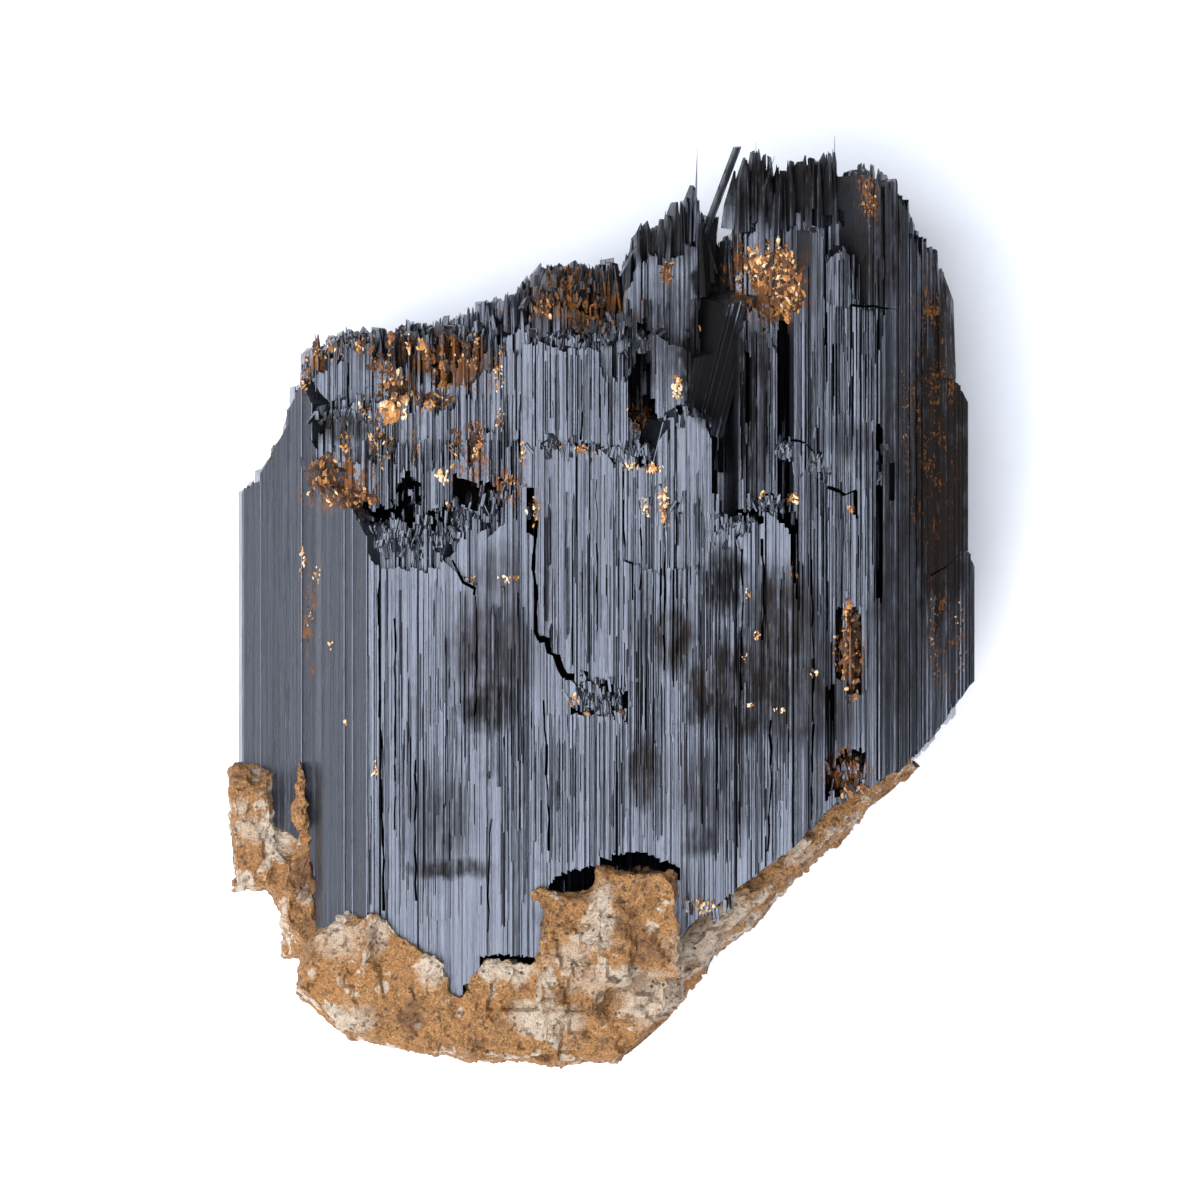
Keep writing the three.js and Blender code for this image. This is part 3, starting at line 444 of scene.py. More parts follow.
# Lumps of feldspar rock: middle, size, turn about Z and tilt about the lump's own length, in radians. Blocky
# ones have more of their corners left. Those behind stop at the crystals' back.
DIAGONAL = math.pi / 4
LUMPS = [
    dict(name="left block", at=(-25.7, -16.8, 15.6), size=(4.1, 9.8, 12.4), turn=0.03, blocky=1.2),
    dict(name="left wedge", at=(-22.3, -17.4, 18.6), size=(1.8, 5.0, 9.2), turn=0.1, blocky=0.8),
    dict(name="left root", at=(-22.4, -20.6, 12.8), size=(4.8, 7.4, 16.0), turn=0.3, blocky=0.9),
    dict(name="lower left lobe", at=(-16.8, -28.2, 18.4), size=(11.2, 9.8, 20.0), turn=-0.2, blocky=1.2),
    dict(name="pale column", at=(-16.8, -25.6, 22.8), size=(1.9, 4.2, 12.6), turn=-0.2, blocky=1.4),
    dict(name="middle lobe", at=(-7.6, -30.8, 21.2), size=(9.2, 7.6, 14.6), turn=-0.08, blocky=1.1),
    dict(name="front block, left", at=(-2.1, -26.6, 19.0), size=(5.6, 10.0, 22.6), turn=0.04, blocky=1.4),
    dict(name="right slope", at=(2.8, -26.0, 12.6), size=(11.0, 8.4, 21.0), turn=DIAGONAL, tilt=-0.12,
         blocky=1.1),
    dict(name="shoulder", at=(9.9, -21.2, 12.8), size=(13.0, 6.8, 20.0), turn=DIAGONAL, tilt=-0.12,
         blocky=1.1),
    dict(name="right strip", at=(17.2, -15.2, 12.8), size=(14.0, 5.6, 18.0), turn=DIAGONAL, tilt=-0.12,
         blocky=1.1),
    dict(name="left apron", at=(-12.4, -26.6, 8.4), size=(14.6, 11.0, 16.0), turn=-0.16, blocky=1.0),
    dict(name="right apron", at=(-3.0, -27.2, 8.8), size=(13.6, 12.0, 17.0), turn=0.1, blocky=1.0),
    dict(name="left base", at=(-6.0, -18.6, 6.0), size=(27.0, 23.0, 20.0), turn=0.05, blocky=0.9,
         behind=True),
    dict(name="right base", at=(5.4, -14.6, 6.0), size=(24.0, 12.0, 20.0), turn=DIAGONAL, blocky=0.8,
         behind=True),
    dict(name="tip of the left wedge", at=(-22.4, -14.4, 19.6), size=(0.9, 5.2, 8.0), turn=0.06,
         blocky=1.0),
    dict(name="lobe right of the column", at=(-13.7, -28.6, 21.8), size=(5.4, 6.4, 13.0), turn=-0.1,
         blocky=1.3),
    dict(name="neck", at=(-22.4, -23.0, 14.6), size=(2.8, 7.4, 16.6), blocky=1.2),
    dict(name="front block, pale column", at=(1.0, -24.6, 20.0), size=(2.9, 9.0, 22.8), blocky=1.8),
    dict(name="front block, right", at=(4.0, -24.2, 19.6), size=(4.1, 8.0, 23.0), turn=0.02, blocky=1.7),
    dict(name="front block, low", at=(1.0, -30.6, 17.0), size=(10.8, 8.0, 21.6), turn=0.05, blocky=1.2),
]
# Notches that show the crystals between the lobes, as outlines over the face
NOTCHES = [
    [(-16.4, -22.7), (-15.5, -24.5), (-11.3, -27.4), (-8.7, -26.8), (-8.7, -22.7)],
    [(-11.7, -25.9), (-10.9, -30.2), (-8.7, -26.8), (-8.7, -25.5)],
    [(-8.7, -22.5), (-8.7, -26.8), (-4.5, -26.8), (-4.5, -22.5)],
]
NOTCH_Z = 22.0  # the notches are open above this height
NOTCH_RISE = 6  # and are cut from this far above the front face
LUMP_BREAKS = 9  # flat breaks across the corners of each lump
LUMP_SEED = 100  # of the first lump, and one more for each after it
LUMP_DETAIL = 5  # rounds of halving the edges of an icosahedron
SIDE_WANDER = 0.16  # how far the lumps' six sides lean
GRAZING = 0.05  # a break that faces away by more than this cuts nothing
CONTACT = ((-34.0, 15.5), (-3.5, 0.0))  # y and z of two points of the rock's flat contact with the crystals
ROOF_LOWEST = -20.0  # that contact goes on down to here, out of the way under the table
LEFT_BREAK = 36.8  # the rock's lower left and lower right sides are diagonal breaks, this far from the middle
RIGHT_BREAK = 25.4
BREAK_UNEVEN = 6.0  # width of the waves in those breaks
BREAK_SEED = 16
ROCK_GRAIN = 0.29  # finest detail of the rock's mesh
ROCK_SMOOTHING = 3  # rounds that take the steps out of it before its surface is broken up
ROCK_WORN = 0.3  # the broken surface lies this far inside the lumps
HASH_AXES = (73856093, 19349663, 83492791)  # large odd numbers that mix a cell's place into a random value
HASH_SEED = 2654435761
HASH_ROUNDS = ((13, 1274126177), (16, 2246822519))

# Ochre iron oxide in the hollows: middle, half size across the face, how many crumbs, their size, how high
# they are heaped, and how pale they are from 0, deep brown, to 1, cream
OCHRE = [
    ((-20.8, 9.2), (1.1, 1.7), 260, 0.34, 0.5, 0.45),
    ((-18.6, 7.7), (1.9, 0.7), 240, 0.32, 0.5, 0.5),
    ((-16.5, 12.0), (1.0, 2.2), 150, 0.26, 0.2, 0.6),
    ((-15.4, 14.4), (1.1, 0.9), 60, 0.4, 0.6, 0.9),
    ((-5.0, 6.9), (0.45, 1.1), 110, 0.26, 0.5, 0.75),
    ((2.8, 14.2), (0.8, 1.0), 120, 0.26, 0.5, 0.25),
    ((5.8, 15.8), (0.4, 1.0), 70, 0.3, 0.5, 1.0),
    ((-12.0, 18.0), (1.3, 1.9), 320, 0.26, 0.6, 0.35),
    ((-9.8, 18.6), (1.1, 1.3), 240, 0.26, 0.6, 0.4),
    ((-15.3, 15.8), (1.3, 1.2), 160, 0.32, 0.6, 0.7),
    ((-14.6, 19.1), (1.4, 0.9), 130, 0.3, 0.4, 0.6),
    ((-2.4, 24.0), (2.1, 1.0), 340, 0.3, 0.8, 0.45),
    ((-3.9, 22.5), (0.9, 1.1), 130, 0.3, 0.5, 0.55),
    ((2.0, 24.9), (0.5, 1.0), 110, 0.28, 0.6, 0.6),
    ((5.0, 24.8), (0.55, 1.1), 130, 0.2, 0.2, 0.35),
    ((12.8, 25.3), (1.7, 1.5), 900, 0.34, 1.0, 0.6),
    ((13.9, 23.1), (1.2, 1.9), 700, 0.34, 1.0, 0.62),
    ((11.4, 24.6), (0.6, 1.6), 120, 0.26, 0.5, 0.4),
    ((10.3, 25.3), (0.5, 2.4), 160, 0.22, 0.3, 0.25),
    ((20.2, 30.0), (0.4, 1.7), 120, 0.18, 0.15, 0.4),
    ((18.8, -3.8), (0.75, 3.4), 420, 0.3, 0.3, 0.42),
    ((17.8, -3.8), (0.25, 2.0), 60, 0.26, 0.3, 0.5),
    ((18.4, -12.2), (1.2, 0.7), 160, 0.34, 0.5, 0.6),
    ((18.6, -13.9), (1.3, 0.9), 160, 0.3, 0.4, 0.35),
    ((14.6, 2.1), (0.3, 0.9), 60, 0.26, 0.4, 0.5),
    ((14.4, 7.6), (0.5, 0.4), 60, 0.3, 0.4, 0.6),
    ((12.2, 7.8), (0.4, 0.3), 26, 0.26, 0.3, 1.0),
    ((4.8, 7.1), (0.4, 1.5), 80, 0.28, 0.3, 0.85),
    ((3.4, 6.9), (0.4, 0.7), 30, 0.26, 0.2, 0.95),
    ((4.1, 9.9), (0.8, 0.4), 60, 0.26, 0.4, 0.95),
    ((2.4, 10.0), (0.8, 0.3), 40, 0.22, 0.3, 0.9),
    ((-1.9, 11.4), (2.6, 0.35), 100, 0.2, 0.3, 0.5),
    ((-9.6, 1.5), (0.4, 0.4), 24, 0.2, 0.2, 0.6),
    ((-6.8, 1.6), (0.9, 0.3), 30, 0.18, 0.1, 0.95),
    ((-10.9, 12.0), (0.6, 2.0), 90, 0.24, 0.3, 0.5),
    ((-9.2, 12.0), (0.7, 1.5), 120, 0.26, 0.4, 0.65),
    ((-11.8, 9.2), (0.5, 0.5), 40, 0.34, 0.5, 1.0),
    ((-11.4, 6.6), (0.5, 0.6), 50, 0.3, 0.4, 0.75),
    ((-7.1, 8.8), (0.9, 0.5), 80, 0.26, 0.4, 0.7),
    ((-22.3, 3.3), (0.2, 1.4), 30, 0.2, 0.1, 0.7),
    ((-21.1, 1.9), (0.5, 0.9), 24, 0.22, 0.1, 0.8),
    ((-21.9, -1.5), (0.5, 2.4), 50, 0.18, 0.05, 0.4),
    ((-20.2, -3.0), (0.3, 0.8), 14, 0.22, 0.1, 0.9),
    ((-19.1, -9.2), (0.15, 0.3), 8, 0.24, 0.1, 0.9),
    ((-16.9, -12.8), (0.4, 1.2), 40, 0.22, 0.15, 0.8),
    ((-25.1, 11.1), (0.9, 1.2), 60, 0.22, 0.15, 0.4),
    ((-21.0, 18.8), (1.2, 0.8), 60, 0.24, 0.3, 0.5),
    ((0, -7.5), (2.6, 1.2), 60, 0.2, 0.2, 0.7),
    ((7.9, 20.2), (0.5, 0.6), 50, 0.24, 0.4, 0.7),
    ((9.4, 22.1), (0.8, 0.5), 40, 0.22, 0.3, 0.6),
    ((25.8, 25.1), (0.3, 1.0), 40, 0.2, 0.1, 0.4),
    ((22.9, 13.5), (0.4, 5.0), 120, 0.16, 0.05, 0.25),
    ((25.1, -3.0), (0.5, 3.6), 160, 0.16, 0.05, 0.35),
    ((27.0, -3.0), (0.4, 3.6), 120, 0.16, 0.05, 0.35),
    ((7.5, -22.9), (1.6, 0.5), 70, 0.26, 0.2, 0.85),
    ((13.4, 23.7), (0.5, 1.0), 60, 0.3, 1.6, 1.1),
    ((12.3, 25.6), (0.5, 0.4), 30, 0.3, 1.6, 1.0),
    ((-18.0, 19.2), (0.8, 0.8), 90, 0.24, 0.4, 0.55),
    ((-16.2, 17.6), (1.3, 1.0), 140, 0.24, 0.4, 0.4),
    ((-12.6, 15.0), (1.7, 0.7), 150, 0.24, 0.4, 0.55),
    ((-7.6, 17.4), (0.4, 1.7), 100, 0.22, 0.3, 0.6),
    ((-19.1, 12.0), (0.5, 2.0), 90, 0.22, 0.3, 0.5),
    ((-17.7, 14.1), (0.5, 1.2), 60, 0.22, 0.3, 0.6),
    ((-22.1, 16.5), (0.5, 1.7), 70, 0.22, 0.2, 0.55),
    ((-6.0, 21.6), (1.5, 0.7), 140, 0.24, 0.5, 0.5),
    ((-0.1, 22.5), (0.8, 0.8), 80, 0.24, 0.4, 0.45),
    ((-0.6, 20.1), (1.1, 0.5), 80, 0.22, 0.3, 0.5),
    ((-5.8, 10.9), (0.3, 1.2), 40, 0.22, 0.2, 0.65),
    ((-13.9, 12.0), (0.4, 1.4), 50, 0.22, 0.2, 0.5),
    ((-7.5, 13.5), (0.4, 1.0), 40, 0.22, 0.2, 0.6),
    ((11.1, 0.4), (0.25, 0.4), 16, 0.2, 0.1, 0.95),
    ((11.7, -2.7), (0.3, 0.5), 24, 0.2, 0.1, 0.9),
    ((10.8, -4.4), (0.4, 0.4), 24, 0.2, 0.1, 0.95),
    ((16.1, -5.4), (0.5, 0.35), 26, 0.2, 0.1, 0.9),
    ((13.5, -8.2), (0.4, 0.35), 22, 0.2, 0.1, 0.95),
    ((11.2, -7.9), (0.4, 0.3), 20, 0.2, 0.1, 0.9),
    ((-1.9, -7.5), (0.3, 0.6), 30, 0.24, 0.2, 0.75),
    ((0.4, -8.4), (0.5, 0.4), 36, 0.24, 0.2, 0.85),
    ((8.1, 19.1), (0.25, 1.4), 40, 0.22, 0.4, 0.8),
    ((18.8, 6.8), (0.3, 0.5), 24, 0.2, 0.2, 0.5),
]

OCHRE_SHARE = 0.46  # share of those counts that is made, which keeps the crumbs under 200,000 triangles
OCHRE_SEED = 21
SMALL_CRUMBS = (0.45, 1.3)  # sizes, as shares of the patch's crumb size
LARGE_CRUMBS = (1.4, 2.3)
BROAD_PATCH = 0.6  # patches with a half width over this have large crumbs too
CRUMB_STRETCH = 1.6  # crumbs are longer along the blades
SHADE_SPREAD = 0.26  # how much the crumbs of a patch differ in how pale they are
DROP_Z = 60  # the crumbs are dropped from this height

# Thin ochre coat on the crystals round the crumbs: middle, half size, strength
OCHRE_FILM = [
    ((-11.2, 18.1), (3.6, 2.6), 1.0), ((-15.4, 16.1), (2.6, 3.6), 0.6), ((-19.9, 8.8), (3.4, 2.2), 0.8),
    ((-21.0, 18.8), (2.6, 1.6), 0.5), ((-9.8, 10.5), (1.8, 2.8), 0.5), ((-1.1, 22.9), (4.6, 3.0), 0.7),
    ((5.1, 24.8), (0.7, 1.3), 0.9), ((13.1, 23.6), (3.0, 3.2), 0.9), ((10.5, 24.8), (1.4, 3.4), 0.6),
    ((20.1, 30.4), (1.0, 2.6), 0.7), ((18.9, -3.8), (0.9, 3.6), 1.0), ((18.4, -12.9), (2.0, 2.0), 0.8),
    ((26.2, -3.0), (1.6, 4.6), 0.35), ((25.1, 15.0), (2.6, 13.0), 0.3), ((3.0, 13.9), (0.9, 1.6), 0.8),
    ((-22.1, -1.5), (0.6, 5.0), 0.5), ((-6.4, 8.6), (1.8, 1.6), 0.6),
]

# Stains on the crystals, which dull them too, and painted shade: the strongest patches, on the dark tilted
# blade, in the gully, over the splintered top and on the right flank, darken blades that lie deep or lean
# away from the light. Each gives middle, half size, strength, and how brown it is
STAINS_AND_PAINTED_SHADE = [
    ((-8.2, -3.8), (3.6, 5.0), 0.55, 0.8),
    ((-8.1, -7.9), (2.6, 2.2), 0.9, 0.3),
    ((-7.5, 1.9), (2.0, 2.6), 0.4, 0.9),
    ((9.4, 1.5), (1.8, 2.6), 1.0, 0.15),
    ((5.5, -2.7), (1.6, 2.9), 0.85, 0.8),
    ((10.9, -6.8), (4.2, 4.6), 0.9, 0.4),
    ((7.5, -7.6), (1.3, 1.8), 1.0, 0.35),
    ((7.5, -6.0), (1.3, 1.5), 0.7, 0.9),
    ((3.2, -12.8), (1.3, 3.0), 0.7, 0.9),
    ((7.5, -18.0), (1.4, 1.4), 0.6, 0.2),
    ((-11.2, -20.1), (3.4, 0.9), 0.7, 0.3),
    ((-12.0, -16.5), (2.8, 4.4), 0.4, 0.6),
    ((17.2, -6.8), (3.6, 5.0), 0.5, 0.5),
    ((13.5, -1.5), (3.4, 4.4), 0.7, 0.7),
    ((22.5, -3.0), (2.6, 9.0), 0.55, 0.3),
    ((18.8, 12.0), (2.0, 1.6), 0.5, 0.2),
    # painted shade: darkens the right flank, which faces away from the light
    ((26.1, 10.5), (2.6, 16.0), 1.6, 0.55),
    ((22.7, 9.8), (2.2, 13.0), 0.6, 0.25),
    # painted shade: darkens the tilted blade, which leans away from the light, and the deep gully behind it
    ((8.6, 18.0), (2.5, 4.8), 2.4, 0.1),
    ((8.5, 24.8), (1.4, 5.0), 1.6, 0.2),
    ((14.2, 31.5), (7.4, 3.4), 0.9, 0.25),
    ((21.0, 27.0), (3.2, 5.4), 0.75, 0.4),
    ((4.5, 27.8), (3.4, 2.8), 0.7, 0.4),
    ((-1.9, 23.2), (5.2, 2.6), 0.7, 0.7),
    ((-13.1, 18.8), (5.4, 2.2), 0.6, 0.8),
    ((-19.6, 13.1), (2.6, 1.2), 0.7, 0.5),
    ((11.6, 15.0), (1.4, 8.0), 0.8, 0.2),
    ((-0.8, 21.8), (5.0, 1.8), 0.6, 0.5),
    ((15.0, -7.5), (4.4, 4.4), 0.6, 0.4),
    ((15.0, 24.8), (2.0, 4.0), 0.4, 0.4),
    ((4.9, 20.2), (3.4, 5.0), 0.55, 0.3),
    ((9.0, -14.2), (4.5, 4.0), 0.35, 0.5),
    ((3.0, -1.5), (1.0, 5.0), 0.3, 0.4),
]

# Patches on the rock: middle, half size, strength. Pale ones are fresh breaks, brown ones are stained by
# iron, and the last have more black grains than elsewhere.
PALE_PATCHES = [
    ((-26.1, -17.6), (1.6, 1.2), 0.7), ((-24.4, -18.0), (1.0, 1.6), 0.9), ((-27.4, -15.8), (0.6, 0.8), 0.9),
    ((-19.5, -25.5), (2.0, 1.6), 0.6), ((-16.6, -24.8), (0.9, 1.8), 0.8), ((-12.3, -27.4), (1.3, 1.6), 1.0),
    ((-18.4, -31.5), (1.8, 1.0), 0.8), ((-6.6, -27.9), (2.2, 1.0), 1.0), ((-5.2, -31.1), (1.6, 1.4), 0.9),
    ((-3.9, -28.9), (0.5, 2.0), 1.0), ((0.2, -23.6), (1.0, 2.6), 1.0), ((-2.1, -26.6), (1.4, 1.4), 0.7),
    ((-0.8, -28.5), (1.8, 1.2), 0.6), ((1.6, -28.1), (2.2, 0.9), 1.0), ((-3.0, -31.5), (2.0, 1.4), 0.8),
    ((3.8, -30.0), (2.6, 2.2), 0.8), ((7.5, -26.2), (2.4, 2.2), 0.9), ((10.1, -23.6), (1.6, 1.6), 0.8),
    ((15.0, -19.5), (1.4, 1.0), 0.5),
]
BROWN_PATCHES = [
    ((-22.4, -21.0), (1.3, 2.2), 1.0), ((-14.2, -31.5), (1.4, 1.0), 0.9), ((-16.5, -21.4), (0.7, 0.6), 0.8),
    ((3.6, -25.9), (1.0, 1.3), 0.9), ((2.4, -23.6), (1.4, 1.6), 0.5), ((3.0, -28.9), (1.2, 0.9), 0.6),
    ((12.0, -19.5), (1.8, 1.2), 0.7), ((6.8, -24.8), (1.4, 1.2), 0.6), ((-25.5, -13.1), (1.0, 0.7), 0.5),
]
SPECKLED = [
    ((4.5, -28.9), (2.6, 1.8), 1.0), ((-3.0, -24.8), (8.0, 4.0), 0.25), ((-6.0, -28.9), (2.4, 1.8), 0.5),
    ((7.5, -27.0), (2.4, 1.8), 0.8),
]
SPECK_SPACING = 0.5  # from one black grain to the next, about, drawn coarser than real to show
PATCH_EDGE = (0.55, 1.15)  # a patch is full out to the first share of its half size, and ends at the second

# A colour mix node's inputs and output
MIX_SHARE = 0
MIX_UNDER = 6
MIX_OVER = 7
MIX_COLOUR = 2

# The studio, in metres from the middle of the specimen
LIGHTS = [
    dict(name="overhead", place=(-0.3, -0.21, 0.8), aim=(-0.3, -0.21, 0), size=(0.94, 0.88), radiance=7.4,
         colour="#EBF1FF"),
    dict(name="key", place=(-0.35, -0.75, 0.6), aim=(0, 0, 0.01), size=(0.3, 0.3), radiance=14.0,
         colour="#FFF6EC"),
]
ROOM_COLOUR = "#E4E8F0"
ROOM_SPAN = (0.25, -0.9)  # the room's walls get lighter from the first x to the second, where 1 is due right
ROOM_GLOW = (0.22, 0.95)  # and how light they are there
FLOOR_REACH = 1.5
FLOOR_GAP = 0.0002  # the table is this far below the specimen, so that their faces don't share a plane
FRAME_WIDTH = 90.0  # what the camera sees across at the front face, in millimetres
SENSOR = 36.0  # in millimetres
CLIP_START = 0.01


def along(profile, x):
    """The height of a profile of (x, y) points at x, held level past both ends"""
    return float(np.interp(x, [place[0] for place in profile], [place[1] for place in profile]))


def dice(seed):
    """A seeded source of numbers from 0 to 1, the same as the one that shapes the rock's solid"""
    state = seed
    mask = 0xFFFFFFFF

    def roll():
        nonlocal state
        state = (state + 0x6D2B79F5) & mask
        t = state
        t = ((t ^ (t >> 15)) * (t | 1)) & mask
        t ^= (t + (((t ^ (t >> 7)) * (t | 61)) & mask)) & mask
        return ((t ^ (t >> 14)) & mask) / (mask + 1)

    return roll


class Heap:
    """Closed chips that are united into one mesh. Each has a tone that its material reads."""

    def __init__(self):
        self.points = []
        self.faces = []
        self.tones = []
        self.count = 0

    def add(self, points, faces, tone=0.5):
        self.points.append(np.asarray(points, float))
        self.faces += [tuple(corner + self.count for corner in face) for face in faces]
        self.tones += [tone] * len(faces)
        self.count += len(points)

    def mesh(self, name):
        mesh = bpy.data.meshes.new(name)
        mesh.from_pydata(np.concatenate(self.points).tolist(), [], self.faces)
        mesh.attributes.new("tone", "FLOAT", "FACE").data.foreach_set("value", self.tones)
        return mesh


def loft_faces(count, rings):
    """Faces of a closed solid through rings of count points each, with a fan over both ends"""
    faces = []
    for ring in range(rings - 1):
        near, far = ring * count, (ring + 1) * count
        for i in range(count):
            j = (i + 1) % count
            faces.append((near + i, near + j, far + j, far + i))
    last = (rings - 1) * count
    faces += [(0, i + 1, i) for i in range(1, count - 1)]
    faces += [(last, last + i, last + i + 1) for i in range(1, count - 1)]
    return faces


def placed(points, at, turn=0.0, lean=0.0, dip=0.0):
    """Points turned about the blade's own length, dipped towards its far end and leant towards +X, then
    moved"""
    matrix = Euler((dip, turn, -lean), "YXZ").to_matrix()
    return np.asarray(points) @ np.array(matrix).T + np.asarray(at)


def level_at(level, x):
    """A sheet's height at x, where it is one number or a profile"""
    return along(level, x) if isinstance(level, list) else level


def slope_of(profile, x, width):
    """How steeply a profile climbs over a blade's width, within reason"""
    climb = along(profile, x + width / 2) - along(profile, x - width / 2)
    return max(-STEEPEST, min(STEEPEST, climb / width))


def add_blade(heap, rng, width, depth, start, stop, at=(0, 0, 0), turn=0.0, lean=0.0, dip=0.0, snap=0.0,
              ragged=0.0, point=1.0, taper=0.0, relief=RELIEF, blunt=0.0, rake=0.0, tone=None):
    """One blade along Y whose striated face looks to +Z at z = 0, before it is turned and moved. Its far end
    is cut askew by snap and ragged, or drawn in to the share point of its section over its last taper. Its
    near end is cut askew by rake, and drawn in too by blunt."""
    half = width / 2
    bevel = min(BEVEL, width / 4)
    facets = max(1, round(width / STRIA))
    across = np.linspace(-half + bevel, half - bevel, facets + 1)
    across[1:-1] += [rng.uniform(-FACET_WANDER, FACET_WANDER) * (width / facets) for _ in across[1:-1]]
    relief = relief * rng.choice(RELIEF_SHARES)
    section = [(-half, -depth), (-half, -bevel)]
    section += [(u, -relief * rng.random() * 2) for u in across]
    section += [(half, -bevel), (half, -depth)]
    section = np.array(section)
    rings = []
    if blunt:
        near = section * [point, 1.0]
        lowered = near[:, 1] - relief * 2
        rings.append(np.column_stack([near[:, 0], np.full(len(near), start - blunt), lowered]))
    rings.append(np.column_stack([section[:, 0], start + rake * section[:, 0], section[:, 1]]))
    if taper:
        rings.append(np.column_stack([section[:, 0], np.full(len(section), stop - taper), section[:, 1]]))
    tip = section * point - [0, (1 - point) * width * 0.5]
    jag = np.array([ragged * rng.uniform(-1, 1) for _ in section])
    rings.append(np.column_stack([tip[:, 0], stop + snap * section[:, 0] + jag, tip[:, 1]]))
    points = placed(np.concatenate(rings), at, turn, lean, dip)
    heap.add(points, loft_faces(len(section), len(rings)), rng.random() if tone is None else tone)


def add_cut(cuts, rng, width, depth, start, stop, at, lean=0.0, snap=0.0, floor=0.0):
    """A wedge that cuts a groove down from above, so that its walls are steep and no floor shines. floor is
    the share of the width that is left at the bottom, which slopes steeply."""
    half = width / 2
    side = rng.choice([-1, 1])
    section = [(-half, CUT_RISE), (half, CUT_RISE), (half, 0.0)]
    if floor:
        section += [(half * floor, -depth - side * width), (-half * floor, -depth + side * width)]
    else:
        section += [(side * half * 0.3, -depth)]
    section = np.array(section + [(-half, 0.0)])
    rings = [np.column_stack([section[:, 0], y + snap * section[:, 0], section[:, 1]]) for y in (start, stop)]
    cuts.add(placed(np.concatenate(rings), at, lean=lean), loft_faces(len(section), 2))


def blade_width(usual, rng):
    """Most blades are near the usual width, and a few are much broader"""
    least, most = WIDTH_LIMITS
    return usual * min(most, max(least, rng.lognormvariate(*WIDTH_SPREAD)))


def add_sheet(heap, sheet, rng):
    """Blades side by side from the first to the last of the sheet's ends, some with a groove between them"""
    last = sheet["ends"][-1][0]
    x = sheet["ends"][0][0]
    drift = 0.0
    opening = 0.0
    while x < last - REMNANT:
        width = min(blade_width(sheet["width"], rng), last - x)
        next_opening = rng.uniform(*OPENING) if rng.random() < sheet.get("grooved", GROOVED) else 0.0
        left = x + opening if opening else x - OVERLAP / 2
        right = x + width if next_opening else x + width + OVERLAP / 2
        middle = (left + right) / 2
        drift = 0.8 * drift + 0.35 * sheet["rough"] * rng.uniform(-1, 1)
        sunk = abs(drift) + sheet["rough"] * rng.random() * 0.5
        if rng.random() < SUNK_SHARE:
            sunk += rng.uniform(*SUNK)
        level = level_at(sheet["level"], middle) - sunk
        depth = sheet.get("depth", level - HIND_Z + ROOTED)
        foot = max(along(FEET, middle), sheet.get("foot", -math.inf)) - 0.3 * rng.random()
        stop = along(sheet["ends"], middle) + sheet["ragged"] * rng.uniform(-1, 0.6)
        if right - left > NARROWEST and stop - foot > SHORTEST:
            add_blade(heap, rng, right - left, depth, foot, stop, at=(middle, 0, level),
                      turn=sheet.get("turn", 0.0) + sheet["spread"] * rng.uniform(-1, 1),
                      snap=0.8 * slope_of(sheet["ends"], middle, width) + rng.uniform(-0.5, 0.5),
                      ragged=0.3 * sheet["ragged"], rake=slope_of(FEET, middle, width))
        opening = next_opening
        x += width


def add_hindmost(heap, rng):
    """Layers of blades behind the front's sheets, each layer a little shorter"""
    for layer in range(HIND_LAYERS):
        ends = [(x, y - HIND_SHORTER * layer) for x, y in CREST]
        add_sheet(heap, {**HIND, "level": HIND_Z - HIND_STEP * layer, "ends": ends}, rng)


def add_wall(heap, wall, rng):
    """Blades side by side along the wall's path, each facing out of it"""
    for (x0, z0), (x1, z1) in zip(wall["path"], wall["path"][1:]):
        run = math.hypot(x1 - x0, z1 - z0)
        turn = math.pi - math.atan2(z1 - z0, x1 - x0)
        along_run = 0.0
        while along_run < run - REMNANT:
            width = min(blade_width(wall["width"], rng), run - along_run)
            share = (along_run + width / 2) / run
            inset = wall["rough"] * rng.random()
            x = x0 + (x1 - x0) * share - inset * math.sin(turn)
            z = z0 + (z1 - z0) * share - inset * math.cos(turn)
            depth = WALL_THICKNESS + rng.random()
            foot = along(FEET, x) + 0.5 * rng.random()
            stop = along(wall["ends"], x) - wall["ragged"] * rng.random()
            add_blade(heap, rng, width + 2 * OVERLAP, depth, foot, stop, at=(x, 0, z),
                      turn=turn + wall["spread"] * rng.uniform(-1, 1),
                      snap=slope_of(wall["ends"], x, WALL_REACH) * math.cos(turn) + rng.uniform(-0.3, 0.3),
                      ragged=0.3 * wall["ragged"], relief=WALL_RELIEF,
                      rake=slope_of(FEET, x, WALL_REACH) * math.cos(turn))
            along_run += width


def add_needles(heap, clump, rng):
    """A clump of needles, spread evenly under the outline of its tips"""
    first, last = clump["tips"][0][0], clump["tips"][-1][0]
    for n in range(clump["count"]):
        x = first + (last - first) * (n + rng.random()) / clump["count"]
        tip = along(clump["tips"], x) - 0.9 * abs(rng.gauss(0, 0.7))
        length = min(tip - clump["root"], rng.uniform(*NEEDLE_LENGTH))
        dip = clump["dip"] * rng.uniform(0.3, 1.5)
        level = clump["level"] - clump["deep"] * rng.random() - math.sin(dip) * length
        add_blade(heap, rng, clump["width"] * rng.uniform(0.5, 1.6), rng.uniform(*NEEDLE_DEPTH), -length, 0.0,
                  at=(x, tip, level), lean=clump["splay"] * rng.gauss(0, 1), turn=rng.uniform(-0.5, 0.6),
                  dip=-dip, point=rng.choice([NEEDLE_POINT, NEEDLE_POINT, BLUNT_POINT]),
                  taper=rng.uniform(*NEEDLE_TAPER), ragged=0.1)


def streak_places(patch, count, rng):
    """Random spans along the blades within a patch: the middle across, and both ends along"""
    (x0, y0), (x1, y1) = patch["span"]
    for _ in range(count):
        x = rng.uniform(x0, x1)
        floor = max(y0, along(FEET, x) + 0.2)
        length = min(rng.lognormvariate(*STREAK_SPREAD), y1 - floor)
        if length > SHORTEST_STREAK:
            start = rng.uniform(floor, y1 - length)
            yield x, start, start + length


